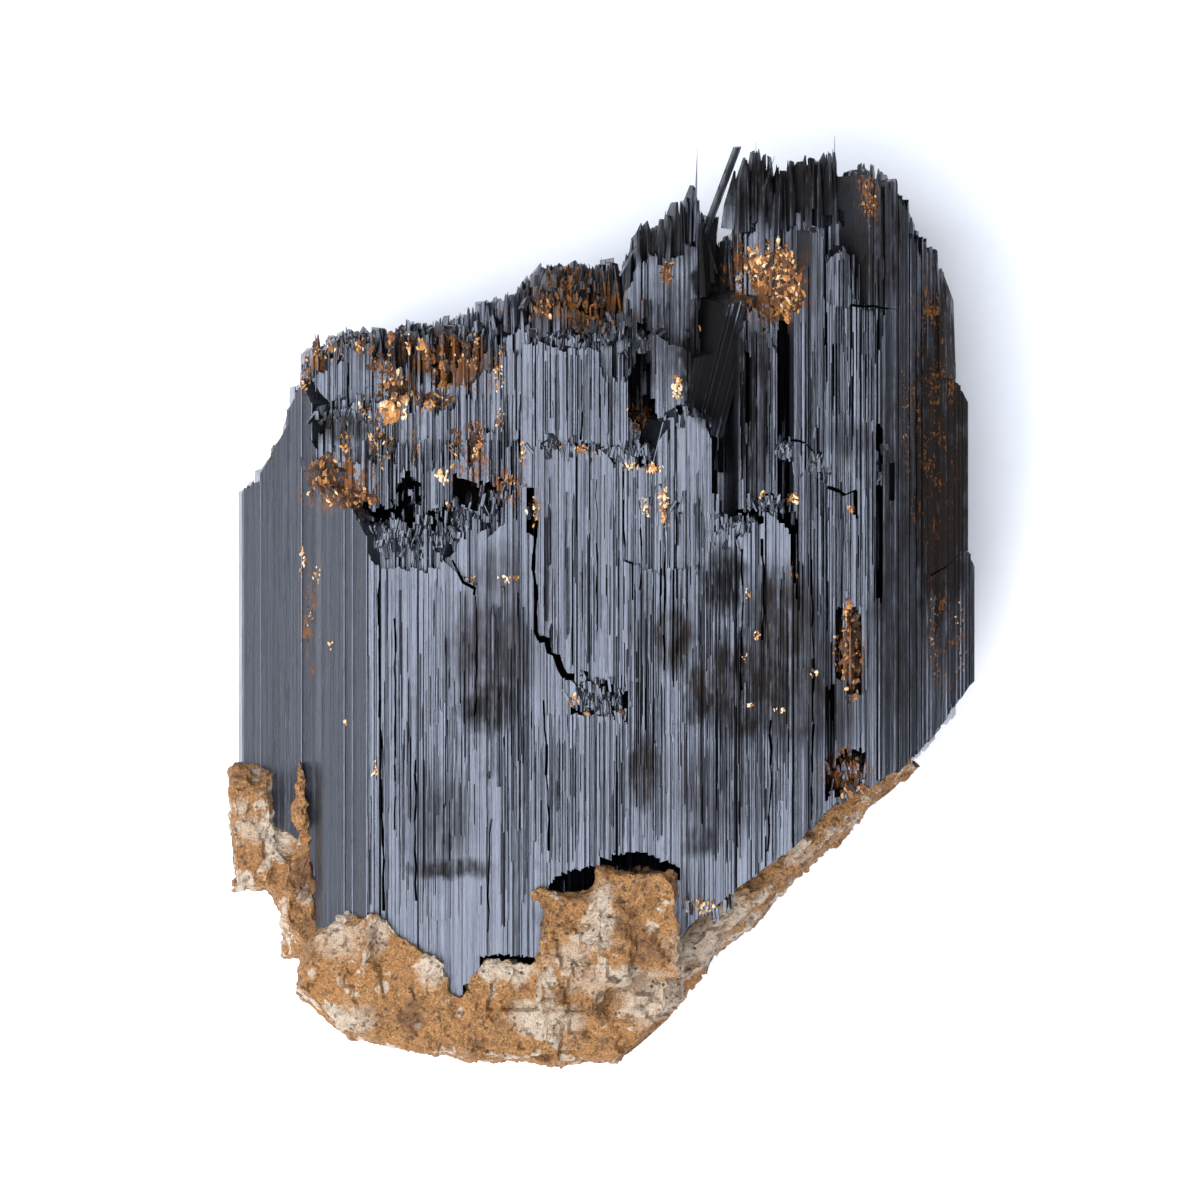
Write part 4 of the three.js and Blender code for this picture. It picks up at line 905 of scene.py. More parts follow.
def add_slivers(heap, patch, rng):
    """Fine ridges on the faces, where a stria starts and stops"""
    for x, start, stop in streak_places(patch, patch["count"], rng):
        add_blade(heap, rng, rng.uniform(*SLIVER_WIDTH), SLIVER_DEPTH, start, stop,
                  at=(x, 0, level_at(patch["level"], x) + rng.uniform(*SLIVER_RISE)),
                  turn=rng.uniform(-0.25, 0.25), snap=rng.uniform(-1.5, 1.5), point=rng.choice([0.3, 1.0]),
                  taper=min(0.6, (stop - start) / 3), blunt=0.2)


def add_nicks(cuts, patch, rng):
    """Fine slits in the faces, as many as NICKS says for each sliver"""
    for x, start, stop in streak_places(patch, round(patch["count"] * NICKS), rng):
        add_cut(cuts, rng, rng.uniform(*NICK_WIDTH), rng.uniform(*NICK_DEPTH), start, stop,
                at=(x, 0, level_at(patch["level"], x)), snap=rng.uniform(-1.5, 1.5))


def add_crushed(heap, patch, rng):
    """Small splinters strewn over a patch, most of them askew, and none past the crest"""
    (x0, y0), (half_x, half_y), level, count = patch
    for _ in range(count):
        x = x0 + half_x * rng.gauss(0, 0.5)
        y = y0 + half_y * rng.gauss(0, 0.5)
        length = rng.uniform(*CRUSHED_LENGTH)
        askew = rng.choice([0.3, 1.0])
        if y + length / 2 > along(CREST, x) - CREST_MARGIN:
            continue
        width = rng.uniform(*CRUSHED_WIDTH)
        depth = rng.uniform(*CRUSHED_DEPTH)
        add_blade(heap, rng, width, depth, -length / 2, length / 2,
                  at=(x, y, level + rng.uniform(*CRUSHED_RISE)),
                  turn=askew * rng.gauss(0, 0.35), lean=askew * rng.gauss(0, 0.35),
                  dip=askew * rng.gauss(0, 0.25), snap=rng.uniform(-1, 1), ragged=0.08)


def add_hollow(cuts, splinters, hollow, rng):
    """A hollow cut blade by blade, so that its ends are ragged, and the splinters that stand in it"""
    last = hollow["low"][-1][0]
    x = hollow["low"][0][0]
    while x < last - REMNANT_CUT:
        width = min(blade_width(HOLLOW_STEP, rng), last - x)
        middle = x + width / 2
        low = along(hollow["low"], middle) + hollow["ragged"] * rng.uniform(-0.5, 0.5)
        high = max(low + 0.2, along(hollow["high"], middle) + hollow["ragged"] * rng.uniform(-0.5, 0.5))
        add_cut(cuts, rng, width + 0.04, FACE_Z - hollow["floor"] - 2.0 * rng.random(), low, high,
                at=(middle, 0, FACE_Z), snap=rng.uniform(-0.5, 0.5), floor=1.0)
        for _ in range(round(rng.random() + SPLINTERED * width * (high - low) - 0.5)):
            foot = low + (high - low) * rng.uniform(0.0, 0.3)
            stop = foot + (high - foot) * rng.uniform(0.3, 0.9)
            add_blade(splinters, rng, rng.uniform(*STANDING_WIDTH), STANDING_DEPTH, foot, stop,
                      at=(middle, 0, hollow["floor"] + rng.uniform(*STANDING_RISE)),
                      turn=rng.uniform(-0.4, 0.4), point=0.3, taper=0.5 * (stop - foot),
                      snap=rng.uniform(-1, 1))
        x += width


def add_crack(cuts, crack, rng):
    """A crack along its path, which strays a little at every step"""
    path = []
    for (x0, y0), (x1, y1) in zip(crack["path"], crack["path"][1:]):
        steps = max(1, round(math.hypot(x1 - x0, y1 - y0) / CRACK_STEP))
        path += [(x0 + (x1 - x0) * i / steps, y0 + (y1 - y0) * i / steps) for i in range(steps)]
    path.append(crack["path"][-1])
    wander = CRACK_WANDER / 2
    path = [(x + rng.uniform(-wander, wander), y + rng.uniform(-wander, wander)) for x, y in path]
    for (x0, y0), (x1, y1) in zip(path, path[1:]):
        length = math.hypot(x1 - x0, y1 - y0)
        width = crack["width"] * rng.uniform(0.5, 1.3)
        add_cut(cuts, rng, width, FACE_Z - crack["floor"] + 0.4 * rng.random(), -0.05, length + 0.05,
                at=(x0, y0, FACE_Z), lean=math.atan2(x1 - x0, y1 - y0))


def linear(code):
    """A linear colour from an sRGB hex code"""
    parts = [int(code[i:i + 2], 16) / 255 for i in (1, 3, 5)]
    return [part / 12.92 if part <= 0.04045 else ((part + 0.055) / 1.055) ** 2.4 for part in parts] + [1.0]


def add_node(tree, kind, inputs=(), output=0, **settings):
    """Adds a node with its settings, and gives one of its outputs. Its inputs come in order, or by name or
    number, and each is a value, an sRGB hex code or the output that is linked to it."""
    node = tree.nodes.new(kind)
    for name, value in settings.items():
        setattr(node, name, value)
    for name, value in inputs.items() if isinstance(inputs, dict) else enumerate(inputs):
        if isinstance(value, bpy.types.NodeSocket):
            tree.links.new(value, node.inputs[name])
        else:
            node.inputs[name].default_value = linear(value) if isinstance(value, str) else value
    return node.outputs[output] if node.outputs else None


def united(name, heap, cuts=None):
    """One closed mesh from all the chips of a heap, less those of another"""
    tree = bpy.data.node_groups.new(name + "_union", "GeometryNodeTree")
    for way in ("INPUT", "OUTPUT"):
        tree.interface.new_socket(name="Geometry", in_out=way, socket_type="NodeSocketGeometry")
    island = add_node(tree, "GeometryNodeInputMeshIsland", output="Island Index")
    whole = add_node(tree, "NodeGroupInput")
    chips = add_node(tree, "GeometryNodeSplitToInstances", {0: whole, "Group ID": island}, domain="FACE")
    result = add_node(tree, "GeometryNodeMeshBoolean", {"Mesh 2": chips},
                      operation="UNION", solver="MANIFOLD")
    holder = None
    if cuts is not None:
        holder = bpy.data.objects.new(name + "_cuts", cuts.mesh(name + "_cuts"))
        bpy.context.scene.collection.objects.link(holder)
        whole = add_node(tree, "GeometryNodeObjectInfo", {"Object": holder}, output="Geometry")
        chips = add_node(tree, "GeometryNodeSplitToInstances", {0: whole, "Group ID": island}, domain="FACE")
        result = add_node(tree, "GeometryNodeMeshBoolean", {"Mesh 1": result, "Mesh 2": chips},
                          operation="DIFFERENCE", solver="MANIFOLD")
    add_node(tree, "NodeGroupOutput", [result])
    raw = bpy.data.objects.new(name + "_raw", heap.mesh(name + "_raw"))
    bpy.context.scene.collection.objects.link(raw)
    raw.modifiers.new("unite", "NODES").node_group = tree
    shape = bpy.data.meshes.new_from_object(raw.evaluated_get(bpy.context.evaluated_depsgraph_get()))
    bpy.data.objects.remove(raw)
    if holder:
        bpy.data.objects.remove(holder)
    return shape


def positions(mesh):
    """A mesh's points as rows of an array"""
    places = np.empty(len(mesh.vertices) * 3)
    mesh.vertices.foreach_get("co", places)
    return places.reshape(-1, 3)


def settle(mesh):
    """Takes a mesh from face places to the row frame: flared below the front face, and in metres"""
    places = positions(mesh)
    share = 1 + (FACE_Z - places[:, 2:]) * FLARE
    places[:, :2] = places[:, :2] * share - MIDDLE
    mesh.vertices.foreach_set("co", (places * MM).ravel())
    mesh.update()
    return mesh


def piece(name, mesh, material, slot, *nodes):
    """Shows a mesh as a piece of the specimen, in place of the nodes that it stands for"""
    mesh.name = name
    mesh.materials.clear()
    mesh.materials.append(material)
    shown = bpy.data.objects.new(name, mesh)
    bpy.context.scene.collection.objects.link(shown)
    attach(shown, "root")
    for node in nodes:
        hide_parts(node)


def crystal_meshes():
    """The crystals' four meshes: lower plates, upper plates, rear blades and splinters"""
    rng = random.Random(CRYSTAL_SEED)
    lower, upper, rear, cuts, splinters = Heap(), Heap(), Heap(), Heap(), Heap()
    for sheet in SHEETS:
        add_sheet(lower if sheet.get("lower") else upper, sheet, rng)
    add_hindmost(rear, rng)
    for wall in WALLS:
        add_wall(rear, wall, rng)
    add_blade(rear, rng, RESTING["width"], RESTING["depth"], RESTING["start"], RESTING["stop"],
              at=(RESTING["x"], 0, 0), turn=math.pi, snap=-0.3, relief=0.0)
    # The askew blades get tone 0, the darkest base colour of the crystals, as painted shade on blades that
    # lean away from the light
    for spec in ASKEW:
        half = spec["length"] / 2
        add_blade(splinters, rng, spec["width"], spec["depth"], -half, half, at=spec["at"], turn=spec["turn"],
                  lean=spec["lean"], snap=0.5, tone=0.0)
    for patch in STREAKED:
        add_slivers(lower if patch.get("lower") else upper, patch, rng)
        add_nicks(cuts, patch, rng)
    for hollow in HOLLOWS:
        add_hollow(cuts, splinters, hollow, rng)
    for crack in CRACKS:
        add_crack(cuts, crack, rng)
    for clump in NEEDLES:
        add_needles(splinters, clump, rng)
    for (x, y), level, width, length, lean in SINGLE_NEEDLES:
        add_blade(splinters, rng, width, SINGLE_DEPTH, -length, 0.0, at=(x, y, level), lean=lean,
                  point=NEEDLE_POINT, taper=length * 0.6)
    for patch in CRUSHED:
        add_crushed(splinters, patch, rng)
    named = (("lower", lower), ("upper", upper), ("rear", rear))
    return [united(name, heap, cuts) for name, heap in named] + [united("splinters", splinters)]


def icosphere(detail):
    """Points on a unit sphere and the triangles between them"""
    ball = bmesh.new()
    bmesh.ops.create_icosphere(ball, subdivisions=detail, radius=1.0)
    points = np.array([vert.co[:] for vert in ball.verts])
    faces = [tuple(vert.index for vert in face.verts) for face in ball.faces]
    ball.free()
    return points, faces


def add_lump(heap, lump, seed):
    """A rough block with its corners broken off by flat breaks, the same breaks as the rock's solid has"""
    roll = dice(seed)
    breaks = []
    for axis in range(3):
        for side in (-1, 1):
            normal = np.zeros(3)
            normal[axis] = side
            normal[0] += SIDE_WANDER * (roll() - 0.5)
            normal[1] += SIDE_WANDER * (roll() - 0.5)
            breaks.append((normal / np.linalg.norm(normal), 1.0))
    for _ in range(LUMP_BREAKS):
        normal = np.array([roll() - 0.5, roll() - 0.5, roll() - 0.5])
        breaks.append((normal / np.linalg.norm(normal), 0.9 + 0.5 * lump["blocky"] * (0.4 + 0.6 * roll())))
    ways, faces = icosphere(LUMP_DETAIL)
    reach = np.full(len(ways), np.inf)
    for normal, distance in breaks:
        facing = ways @ normal
        reach = np.minimum(reach, np.where(facing > GRAZING, distance / np.maximum(facing, GRAZING), np.inf))
    points = ways * reach[:, None] * np.array(lump["size"]) / 2
    matrix = np.array(Euler((lump.get("tilt", 0.0), 0, lump.get("turn", 0.0)), "XYZ").to_matrix())
    points = points @ matrix.T + lump["at"]
    if lump.get("behind"):
        (y0, z0), (y1, z1) = CONTACT
        roof = z1 + (points[:, 1] - y1) * (z1 - z0) / (y1 - y0)
        points[:, 2] = np.minimum(points[:, 2], np.maximum(roof, ROOF_LOWEST))
    heap.add(points, faces)


def lattice_noise(places, size, seed):
    """Smooth noise from -1 to 1 whose features are about size wide, from random values at the cells'
    corners"""
    grid = places / size
    cell = np.floor(grid).astype(np.int64)
    blend = grid - cell
    blend = blend * blend * (3 - 2 * blend)
    total = np.zeros(len(places))
    for dx, dy, dz in itertools.product((0, 1), repeat=3):
        key = (cell + [dx, dy, dz]) @ np.array(HASH_AXES) + seed * HASH_SEED
        for shift, factor in HASH_ROUNDS:
            key = (key ^ (key >> shift)) * factor & 0xFFFFFFFF
        value = (key >> 8 & 0xFFFF) / 32767.5 - 1
        share = np.abs(1 - dx - blend[:, 0]) * np.abs(1 - dy - blend[:, 1]) * np.abs(1 - dz - blend[:, 2])
        total += value * share
    return total


def chipped(places, size, seed):
    """Height of a broken surface made of small flat chips about size wide, each sloping its own way"""
    rng = random.Random(seed)
    low, high = places.min(0) - size, places.max(0) + size
    count = int(np.prod((high - low) / size))
    tree = KDTree(count)
    for n in range(count):
        tree.insert([rng.uniform(low[k], high[k]) for k in range(3)], n)
    tree.balance()
    slopes = np.random.default_rng(seed).uniform(-1, 1, (count, 4))
    height = np.empty(len(places))
    for n, place in enumerate(places):
        middle, chip, _ = tree.find(place)
        height[n] = slopes[chip, 3] * 0.5 + (place - np.array(middle)) @ slopes[chip, :3] / size
    return height


# The rock's broken surface
ROCK_SURFACE = [
    # how its heights are made, how high, how wide its features are, seed
    (chipped, 0.34, 2.4, 11),
    (chipped, 0.22, 0.9, 12),
    (lattice_noise, 0.2, 3.0, 13),
    (lattice_noise, 0.12, 0.9, 14),
    (lattice_noise, 0.1, 0.45, 15),
]


def rock_mesh():
    """The rock: lumps less the notches, remeshed finely, cut back to its diagonal breaks and broken up"""
    heap = Heap()
    for n, lump in enumerate(LUMPS):
        add_lump(heap, lump, LUMP_SEED + n)
    notches = Heap()
    for outline in NOTCHES:
        ring = np.array(outline)
        count = len(ring)
        points = [np.column_stack([ring, np.full(count, z)]) for z in (NOTCH_Z, FACE_Z + NOTCH_RISE)]
        notches.add(np.concatenate(points), loft_faces(count, 2))
    work = bpy.data.objects.new("rock_work", united("rock", heap, notches))
    bpy.context.scene.collection.objects.link(work)
    remesh = work.modifiers.new("grain", "REMESH")
    remesh.mode = "VOXEL"
    remesh.voxel_size = ROCK_GRAIN
    even = work.modifiers.new("even", "SMOOTH")
    even.iterations = ROCK_SMOOTHING
    fine = bpy.data.meshes.new_from_object(work.evaluated_get(bpy.context.evaluated_depsgraph_get()))
    bpy.data.objects.remove(work)
    places = positions(fine)
    normals = np.empty(len(places) * 3)
    fine.vertex_normals.foreach_get("vector", normals)
    normals = normals.reshape(-1, 3)
    height = np.full(len(places), -ROCK_WORN)
    for made, amount, size, seed in ROCK_SURFACE:
        height += amount * made(places, size, seed)
    lift = math.sqrt(0.5)
    uneven = 0.7 * lattice_noise(places, BREAK_UNEVEN, BREAK_SEED) - 0.2
    for way, reach in (((-lift, -lift), LEFT_BREAK), ((lift, -lift), RIGHT_BREAK)):
        past = np.maximum(places[:, 0] * way[0] + places[:, 1] * way[1] - reach - uneven, 0)
        places[:, 0] -= past * way[0]
        places[:, 1] -= past * way[1]
    places = places + normals * height[:, None]
    places[:, 2] = np.maximum(places[:, 2], 0.0)
    fine.vertices.foreach_set("co", places.ravel())
    fine.update()
    return fine


def crumb(rng, size, template):
    """One angular crumb: a small ball with its points pushed in and out, longer along the blades"""
    points, faces = template
    stretch = np.array([rng.uniform(0.6, 1.2), rng.uniform(0.7, 1.3) * CRUMB_STRETCH, rng.uniform(0.6, 1.0)])
    pushed = points * np.array([[rng.uniform(0.6, 1.3)] for _ in points]) * stretch * size / 2
    matrix = np.array(Euler((rng.gauss(0, 0.4), rng.uniform(0, 6.3), rng.gauss(0, 0.5))).to_matrix())
    return pushed @ matrix.T, faces


def ochre_mesh(*crystals):
    """Crumbs of iron oxide, dropped onto the crystals where it lies. Every sixth of a broad patch is a large
    one."""
    rng = random.Random(OCHRE_SEED)
    trees = [BVHTree.FromPolygons([vert.co for vert in mesh.vertices],
                                  [face.vertices for face in mesh.polygons]) for mesh in crystals]
    small, large = icosphere(1), icosphere(2)
    heap = Heap()
    for (x0, y0), (half_x, half_y), count, size, heaped, pale in OCHRE:
        for n in range(round(count * OCHRE_SHARE)):
            angle = rng.uniform(0, 2 * math.pi)
            out = math.sqrt(rng.random()) * rng.choice([0.6, 1.0, 1.0, 1.2])
            x = x0 + half_x * out * math.cos(angle)
            y = y0 + half_y * out * math.sin(angle)
            hits = [tree.ray_cast(Vector((x, y, DROP_Z)), Vector((0, 0, -1)))[0] for tree in trees]
            heights = [hit.z for hit in hits if hit]
            if not heights:
                continue
            core = n % 6 == 0 and half_x > BROAD_PATCH
            grown = size * rng.uniform(*(LARGE_CRUMBS if core else SMALL_CRUMBS))
            points, faces = crumb(rng, grown, large if core else small)
            lift = heaped * max(0, 1 - out) * rng.random() - (0.3 if core else 0.12) * grown
            shade = pale - 0.3 * core - 0.06 + rng.gauss(0, SHADE_SPREAD)
            heap.add(points + [x, y, max(heights) + lift], faces, min(1, max(0, shade)))
    return united("ochre", heap)


def material(name):
    """A material with no nodes yet, and its tree"""
    made = bpy.data.materials.new(name)
    made.use_nodes = True
    made.node_tree.nodes.clear()
    return made, made.node_tree


def sized_noise(tree, places, sizes, detail=3.0, roughness=0.6, seed=0.0):
    """Noise whose features are about as long as sizes says, in millimetres along x, y and z"""
    scaled = add_node(tree, "ShaderNodeMapping", {
        "Vector": places, "Scale": [1 / (size * MM) for size in sizes],
        "Location": (seed, seed * 1.7, seed * 0.3)})
    return add_node(tree, "ShaderNodeTexNoise", {
        "Vector": scaled, "Scale": 1.0, "Detail": detail, "Roughness": roughness})


def weighted(tree, *terms):
    """The sum of some masks, each times its weight"""
    total = 0.0
    for term in terms:
        share = add_node(tree, "ShaderNodeMath", term, operation="MULTIPLY")
        total = add_node(tree, "ShaderNodeMath", [total, share], operation="ADD")
    return total


def layered(tree, colour, *layers):
    """A colour with others laid over it one after another, each as strong as its mask"""
    for mask, over in layers:
        colour = add_node(tree, "ShaderNodeMix", {MIX_SHARE: mask, MIX_UNDER: colour, MIX_OVER: over},
                          output=MIX_COLOUR, data_type="RGBA")
    return colour


def patch_masks(tree, wobble, patches):
    """For soft-edged ellipses over the face, given by middle, half size and strengths: the strongest of each
    of the strengths"""
    totals = None
    for (x, y), (half_x, half_y), *strengths in patches:
        scale = (1 / (half_x * MM), 1 / (half_y * MM), 0)
        shift = (-(x - MIDDLE[0]) / half_x, -(y - MIDDLE[1]) / half_y, 0)
        moved = add_node(tree, "ShaderNodeVectorMath", [wobble, scale, shift], operation="MULTIPLY_ADD")
        out = add_node(tree, "ShaderNodeVectorMath", [moved], output="Value", operation="LENGTH")
        shares = [add_node(tree, "ShaderNodeMapRange", [out, *PATCH_EDGE, strength, 0.0])
                  for strength in strengths]
        if totals:
            shares = [add_node(tree, "ShaderNodeMath", pair, operation="MAXIMUM")
                      for pair in zip(shares, totals)]
        totals = shares
    return totals


def wobbled(tree, places, amount, size, seed):
    """Places moved about by noise, so that the edges of patches wander. Sizes are in millimetres."""
    scaled = add_node(tree, "ShaderNodeMapping", {
        "Vector": places, "Scale": [1 / (size * MM)] * 3, "Location": [seed] * 3})
    drift = add_node(tree, "ShaderNodeTexNoise", {"Vector": scaled, "Scale": 1.0, "Detail": 3.0},
                     output="Color")
    centred = add_node(tree, "ShaderNodeVectorMath", [drift, (0.5, 0.5, 0.5)], operation="SUBTRACT")
    far = add_node(tree, "ShaderNodeVectorMath", {0: centred, "Scale": amount * MM}, operation="SCALE")
    return add_node(tree, "ShaderNodeVectorMath", [places, far], operation="ADD")


def aegirine():
    """Aegirine: an iron pyroxene, black and opaque with a vitreous lustre. Growth left fine striae along it,
    so its faces give a sheen in streaks, which a pale blue specular tint paints with the colour of bluish
    light. Weathering left dull brown-black patches, which lose the sheen, and a thin coat of rust round the
    crumbs of iron oxide. The darkest patches are painted shade, where blades lie deep or lean away from the
    light."""
    made, tree = material("aegirine")
    places = add_node(tree, "ShaderNodeTexCoord", output="Object")
    tone = add_node(tree, "ShaderNodeAttribute", output="Fac", attribute_name="tone")
    streaks = sized_noise(tree, places, (0.16, 9.0, 0.3), detail=4.0, roughness=0.65, seed=1.0)
    mottle = sized_noise(tree, places, (0.9, 2.2, 2.0), detail=5.0, roughness=0.65, seed=5.0)
    grit = sized_noise(tree, places, (0.16, 0.3, 0.3), detail=2.0, seed=9.0)
    wander = wobbled(tree, places, 1.6, 1.5, 3.0)
    # Masks from the list of stains and painted shade: dark is how strong a patch is, brown how brown it is
    dark, brown = patch_masks(tree, wander, STAINS_AND_PAINTED_SHADE)
    broken = weighted(tree, (mottle, 0.6), (streaks, 0.6))
    broken = add_node(tree, "ShaderNodeMapRange", [broken, 0.48, 0.68])
    broken = add_node(tree, "ShaderNodeMath", [0.35, broken], operation="ADD")
    stain_and_shade = add_node(tree, "ShaderNodeMath", [dark, broken], operation="MULTIPLY")
    haze = add_node(tree, "ShaderNodeMapRange", [mottle, 0.56, 0.8, 0.0, 0.35])
    stain_and_shade = add_node(tree, "ShaderNodeMath", [stain_and_shade, haze], operation="MAXIMUM")
    stain_and_shade = add_node(tree, "ShaderNodeMath", [stain_and_shade, 1.0], operation="MINIMUM")
    flecks = weighted(tree, (grit, 0.5), (mottle, 0.6))
    flecks = add_node(tree, "ShaderNodeMapRange", [flecks, 0.66, 0.5])
    rust = patch_masks(tree, wander, OCHRE_FILM)[0]
    rust = add_node(tree, "ShaderNodeMath", [rust, flecks], operation="SUBTRACT")
    rust = add_node(tree, "ShaderNodeMapRange", [rust, 0.0, 0.3])
    clean = layered(tree, "#121316", (tone, "#202227"))
    # Near-black and brown-black colour of the stains, which is also painted shade on deep or turned-away
    # blades
    stain_and_shade_colour = layered(tree, "#0B0B0C", (brown, "#251B11"))
    colour = layered(tree, clean, (stain_and_shade, stain_and_shade_colour), (rust, "#6E4319"))
    # Stains, rust and painted shade make the faces rougher and take most of their sheen
    stain_rust_and_shade = add_node(tree, "ShaderNodeMath", [stain_and_shade, rust], operation="MAXIMUM")
    gloss = add_node(tree, "ShaderNodeMapRange", [streaks, 0.4, 0.7, 0.24, 0.42])
    rough = weighted(tree, (gloss, 1.0), (stain_rust_and_shade, 0.45))
    sheen = add_node(tree, "ShaderNodeMapRange", [stain_rust_and_shade, 0.0, 1.0, 0.5, 0.09])
    height = weighted(tree, (streaks, 1.0), (grit, 0.25))
    bump = add_node(tree, "ShaderNodeBump", {"Height": height, "Strength": 0.7, "Distance": 0.06 * MM})
    # The pale blue specular tint paints the bluish colour of the reflected light into the sheen
    surface = add_node(tree, "ShaderNodeBsdfPrincipled", {
        "Base Color": colour, "Roughness": rough, "IOR": 1.78, "Specular IOR Level": sheen,
        "Specular Tint": "#EEF3FF", "Normal": bump})
    add_node(tree, "ShaderNodeOutputMaterial", [surface])
    return made


def feldspar():
    """Potassium feldspar, broken and weathered: cream where the break is fresh, with tiny black grains in
    it, and orange-tan where iron oxide dusts it."""
    made, tree = material("weathered_feldspar")
    places = add_node(tree, "ShaderNodeTexCoord", output="Object")
    wander = wobbled(tree, places, 2.2, 1.0, 7.0)
    patches = sized_noise(tree, places, [2.6] * 3, detail=4.0, seed=2.0)
    grain = sized_noise(tree, places, [0.16] * 3, roughness=0.7, seed=4.0)
    coarse = sized_noise(tree, places, [0.6] * 3, seed=6.0)
    fine = add_node(tree, "ShaderNodeMapRange", [grain, 0.35, 0.68])
    rusty = add_node(tree, "ShaderNodeMapRange", [coarse, 0.4, 0.7, 0.0, 0.6])
    dust = layered(tree, "#553315", (fine, "#B58850"), (rusty, "#8F5B26"))
    crystalline = add_node(tree, "ShaderNodeMapRange", [grain, 0.3, 0.7])
    fresh = layered(tree, "#8E7C66", (crystalline, "#C2B098"))
    spread = add_node(tree, "ShaderNodeMapRange", [patches, 0.55, 0.59])
    pale = patch_masks(tree, wander, PALE_PATCHES)[0]
    pale = add_node(tree, "ShaderNodeMath", [pale, spread], operation="MAXIMUM")
    spread = add_node(tree, "ShaderNodeMapRange", [patches, 0.44, 0.34, 0.0, 0.8])
    brown = patch_masks(tree, wander, BROWN_PATCHES)[0]
    brown = add_node(tree, "ShaderNodeMath", [brown, spread], operation="MAXIMUM")
    uneven = add_node(tree, "ShaderNodeMapRange", [coarse, 0.35, 0.6, 0.5, 1.0])
    brown = add_node(tree, "ShaderNodeMath", [brown, uneven], operation="MULTIPLY")
    specks = add_node(tree, "ShaderNodeMapping", {"Vector": places, "Scale": [1 / (SPECK_SPACING * MM)] * 3})
    cell = add_node(tree, "ShaderNodeTexVoronoi", {"Vector": specks, "Scale": 1.0}, output="Color")
    chance = add_node(tree, "ShaderNodeMath", [cell, 7.3], operation="MULTIPLY")
    chance = add_node(tree, "ShaderNodeMath", [chance], operation="FRACT")
    chosen = add_node(tree, "ShaderNodeMapRange", [chance, 0.72, 0.74])
    near = add_node(tree, "ShaderNodeMapRange", [cell.node.outputs["Distance"], 0.26, 0.34, 1.0, 0.0])
    zone = patch_masks(tree, wander, SPECKLED)[0]
    zone = add_node(tree, "ShaderNodeMath", [zone, 0.12], operation="MAXIMUM")
    zone = add_node(tree, "ShaderNodeMapRange", [zone, 0.1, 0.6, 0.7, 1.0])
    black = add_node(tree, "ShaderNodeMath", [chosen, near], operation="MULTIPLY")
    black = add_node(tree, "ShaderNodeMath", [black, zone], operation="MULTIPLY")
    pits = add_node(tree, "ShaderNodeMapRange", [coarse, 0.4, 0.33, 0.0, 0.75])
    colour = layered(tree, dust, (pale, fresh), (brown, "#5A3A1E"), (black, "#2A2622"), (pits, "#4A2E16"))
    rough = add_node(tree, "ShaderNodeMapRange", [pale, 0.0, 1.0, 0.791, 0.434])
    height = weighted(tree, (grain, 1.0), (coarse, 2.0))
    bump = add_node(tree, "ShaderNodeBump", {"Height": height, "Strength": 0.9, "Distance": 0.18 * MM})
    surface = add_node(tree, "ShaderNodeBsdfPrincipled", {
        "Base Color": colour, "Roughness": rough, "IOR": 1.53, "Normal": bump})
    add_node(tree, "ShaderNodeOutputMaterial", [surface])
    return made


def limonite():
    """Limonite: earthy iron oxide crumbs, from deep brown through ochre to cream where feldspar dust is
    mixed in"""
    made, tree = material("limonite")
    places = add_node(tree, "ShaderNodeTexCoord", output="Object")
    tone = add_node(tree, "ShaderNodeAttribute", output="Fac", attribute_name="tone")
    grain = sized_noise(tree, places, [0.12] * 3, roughness=0.7, seed=8.0)
    uneven = add_node(tree, "ShaderNodeMapRange", [grain, 0.3, 0.7, -0.2, 0.2])
    shade = add_node(tree, "ShaderNodeMath", [tone, uneven], operation="ADD")
    colour = add_node(tree, "ShaderNodeValToRGB", [shade])
    stops = colour.node.color_ramp.elements
    stops[0].color = linear("#241407")
    stops[1].color = linear("#E8CFA6")
    for position, code in ((0.25, "#4C2B0D"), (0.5, "#8C5420"), (0.75, "#C48A45")):
        stops.new(position).color = linear(code)
    bump = add_node(tree, "ShaderNodeBump", {"Height": grain, "Strength": 0.7, "Distance": 0.06 * MM})
    surface = add_node(tree, "ShaderNodeBsdfPrincipled", {
        "Base Color": colour, "Roughness": 0.8, "IOR": 1.6, "Normal": bump})
    add_node(tree, "ShaderNodeOutputMaterial", [surface])
    return made


def pale_card():
    """The plain matt card that the specimen lies on, near white"""
    made, tree = material("pale_card")
    places = add_node(tree, "ShaderNodeTexCoord", output="Object")
    fibre = sized_noise(tree, places, [2.0] * 3, detail=2.0)
    fibre = add_node(tree, "ShaderNodeMapRange", [fibre, 0.3, 0.7])
    colour = layered(tree, "#F4F4F4", (fibre, "#F6F6F6"))
    surface = add_node(tree, "ShaderNodeBsdfPrincipled", {"Base Color": colour, "Roughness": 0.9})
    add_node(tree, "ShaderNodeOutputMaterial", [surface])
    return made


def floor():
    """The table, a hair below the specimen"""
    mesh = bpy.data.meshes.new("table")
    corners = [(x * FLOOR_REACH, y * FLOOR_REACH, 0) for x, y in ((-1, -1), (1, -1), (1, 1), (-1, 1))]
    mesh.from_pydata(corners, [], [(0, 1, 2, 3)])
    mesh.materials.append(pale_card())
    table = bpy.data.objects.new("table", mesh)
    table.location.z = -FLOOR_GAP
    bpy.context.scene.collection.objects.link(table)


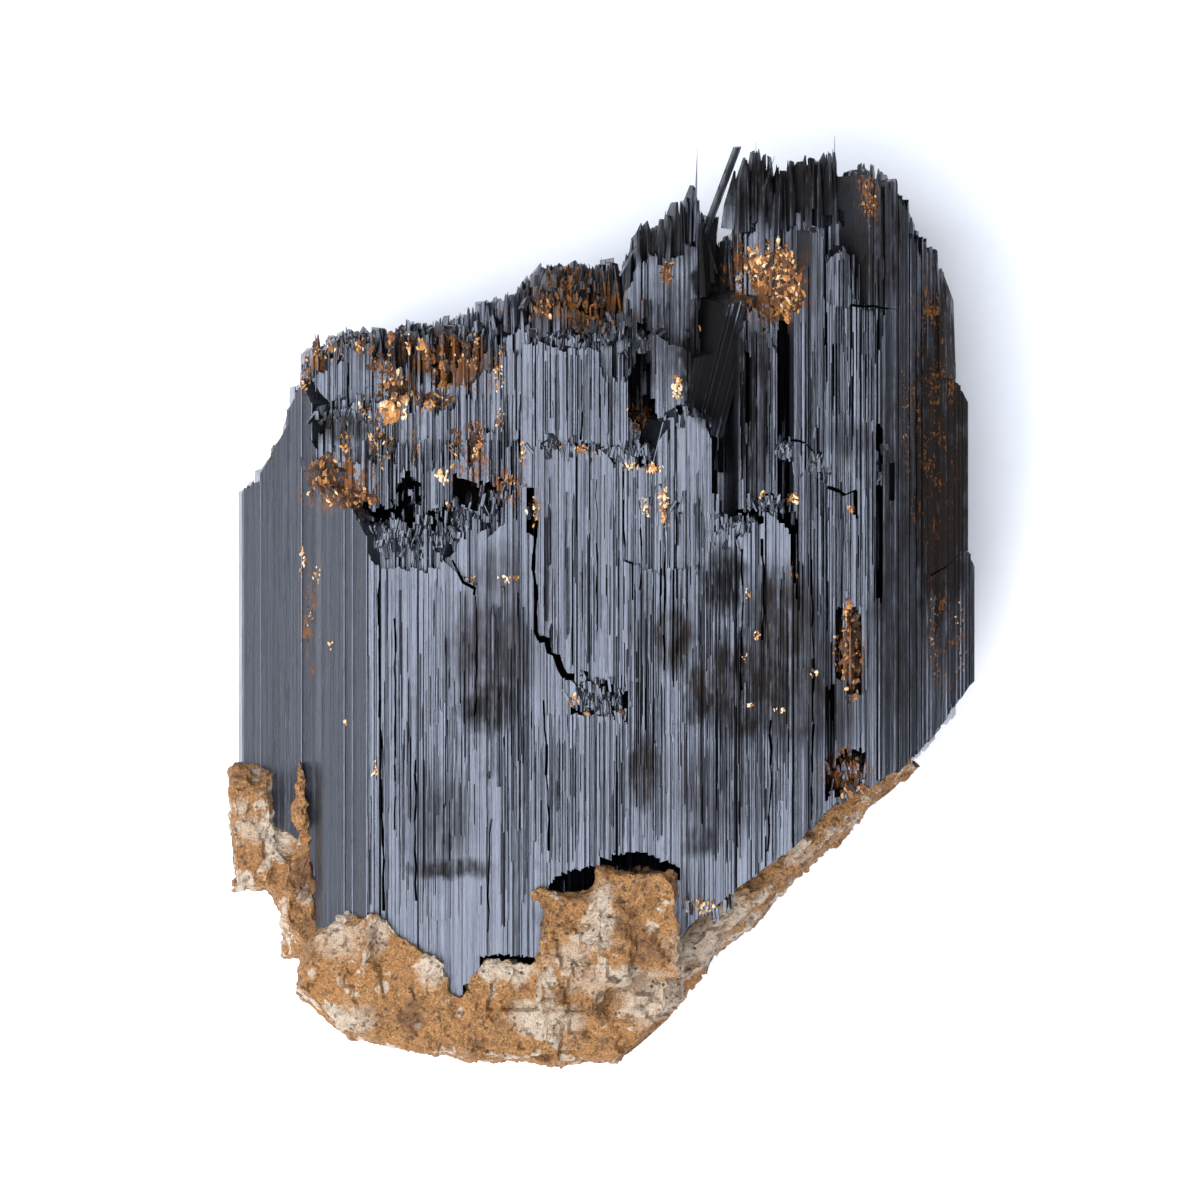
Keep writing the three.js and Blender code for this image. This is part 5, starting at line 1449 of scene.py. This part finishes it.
def panel(name, place, aim, size, radiance, colour):
    """A soft rectangular light whose face gives out the same radiance all over"""
    light = bpy.data.lights.new(name, "AREA")
    light.shape = "RECTANGLE"
    light.size, light.size_y = size
    light.energy = radiance * size[0] * size[1] * math.pi
    light.color = linear(colour)[:3]
    lamp = bpy.data.objects.new(name, light)
    lamp.location = place
    lamp.rotation_euler = (Vector(aim) - Vector(place)).to_track_quat("-Z", "Y").to_euler()
    bpy.context.scene.collection.objects.link(lamp)


def studio():
    """A broad soft box over the left and lower side, so that faces which lean right or away stay dark, a
    weak key light from the lower left, and a dim room that is lighter on the left"""
    world = bpy.data.worlds.new("studio")
    world.use_nodes = True
    tree = world.node_tree
    way = add_node(tree, "ShaderNodeTexCoord", output="Generated")
    way = add_node(tree, "ShaderNodeSeparateXYZ", [way], output="X")
    glow = add_node(tree, "ShaderNodeMapRange", [way, *ROOM_SPAN, *ROOM_GLOW],
                    interpolation_type="SMOOTHSTEP")
    room = tree.nodes["Background"]
    room.inputs["Color"].default_value = linear(ROOM_COLOUR)
    tree.links.new(glow, room.inputs["Strength"])
    bpy.context.scene.world = world
    for light in LIGHTS:
        panel(**light)
    bpy.context.scene.view_settings.view_transform = "Standard"


def camera():
    """The camera looks straight down on the front face, as the photo does"""
    data = bpy.data.cameras.new("camera")
    data.sensor_width = SENSOR
    data.lens = SENSOR * CAMERA_REACH / FRAME_WIDTH
    data.clip_start = CLIP_START
    seen = bpy.data.objects.new("camera", data)
    seen.location = (-MIDDLE[0] * MM, -MIDDLE[1] * MM, (FACE_Z + CAMERA_REACH) * MM)
    bpy.context.scene.collection.objects.link(seen)
    bpy.context.scene.camera = seen


camera()
studio()
floor()
lower, upper, rear, splinters = crystal_meshes()
ochre = ochre_mesh(lower, upper, rear)
rock = rock_mesh()
black = aegirine()
piece("lower_plates", settle(lower), black, "aegirine", "aegirine_crystal")
piece("upper_plates", settle(upper), black, "aegirine")
piece("rear_blades", settle(rear), black, "aegirine")
piece("splinters", settle(splinters), black, "aegirine")
piece("ochre_crumbs", settle(ochre), limonite(), "feldspar")
piece("feldspar_rock", settle(rock), feldspar(), "feldspar", "feldspar_matrix")
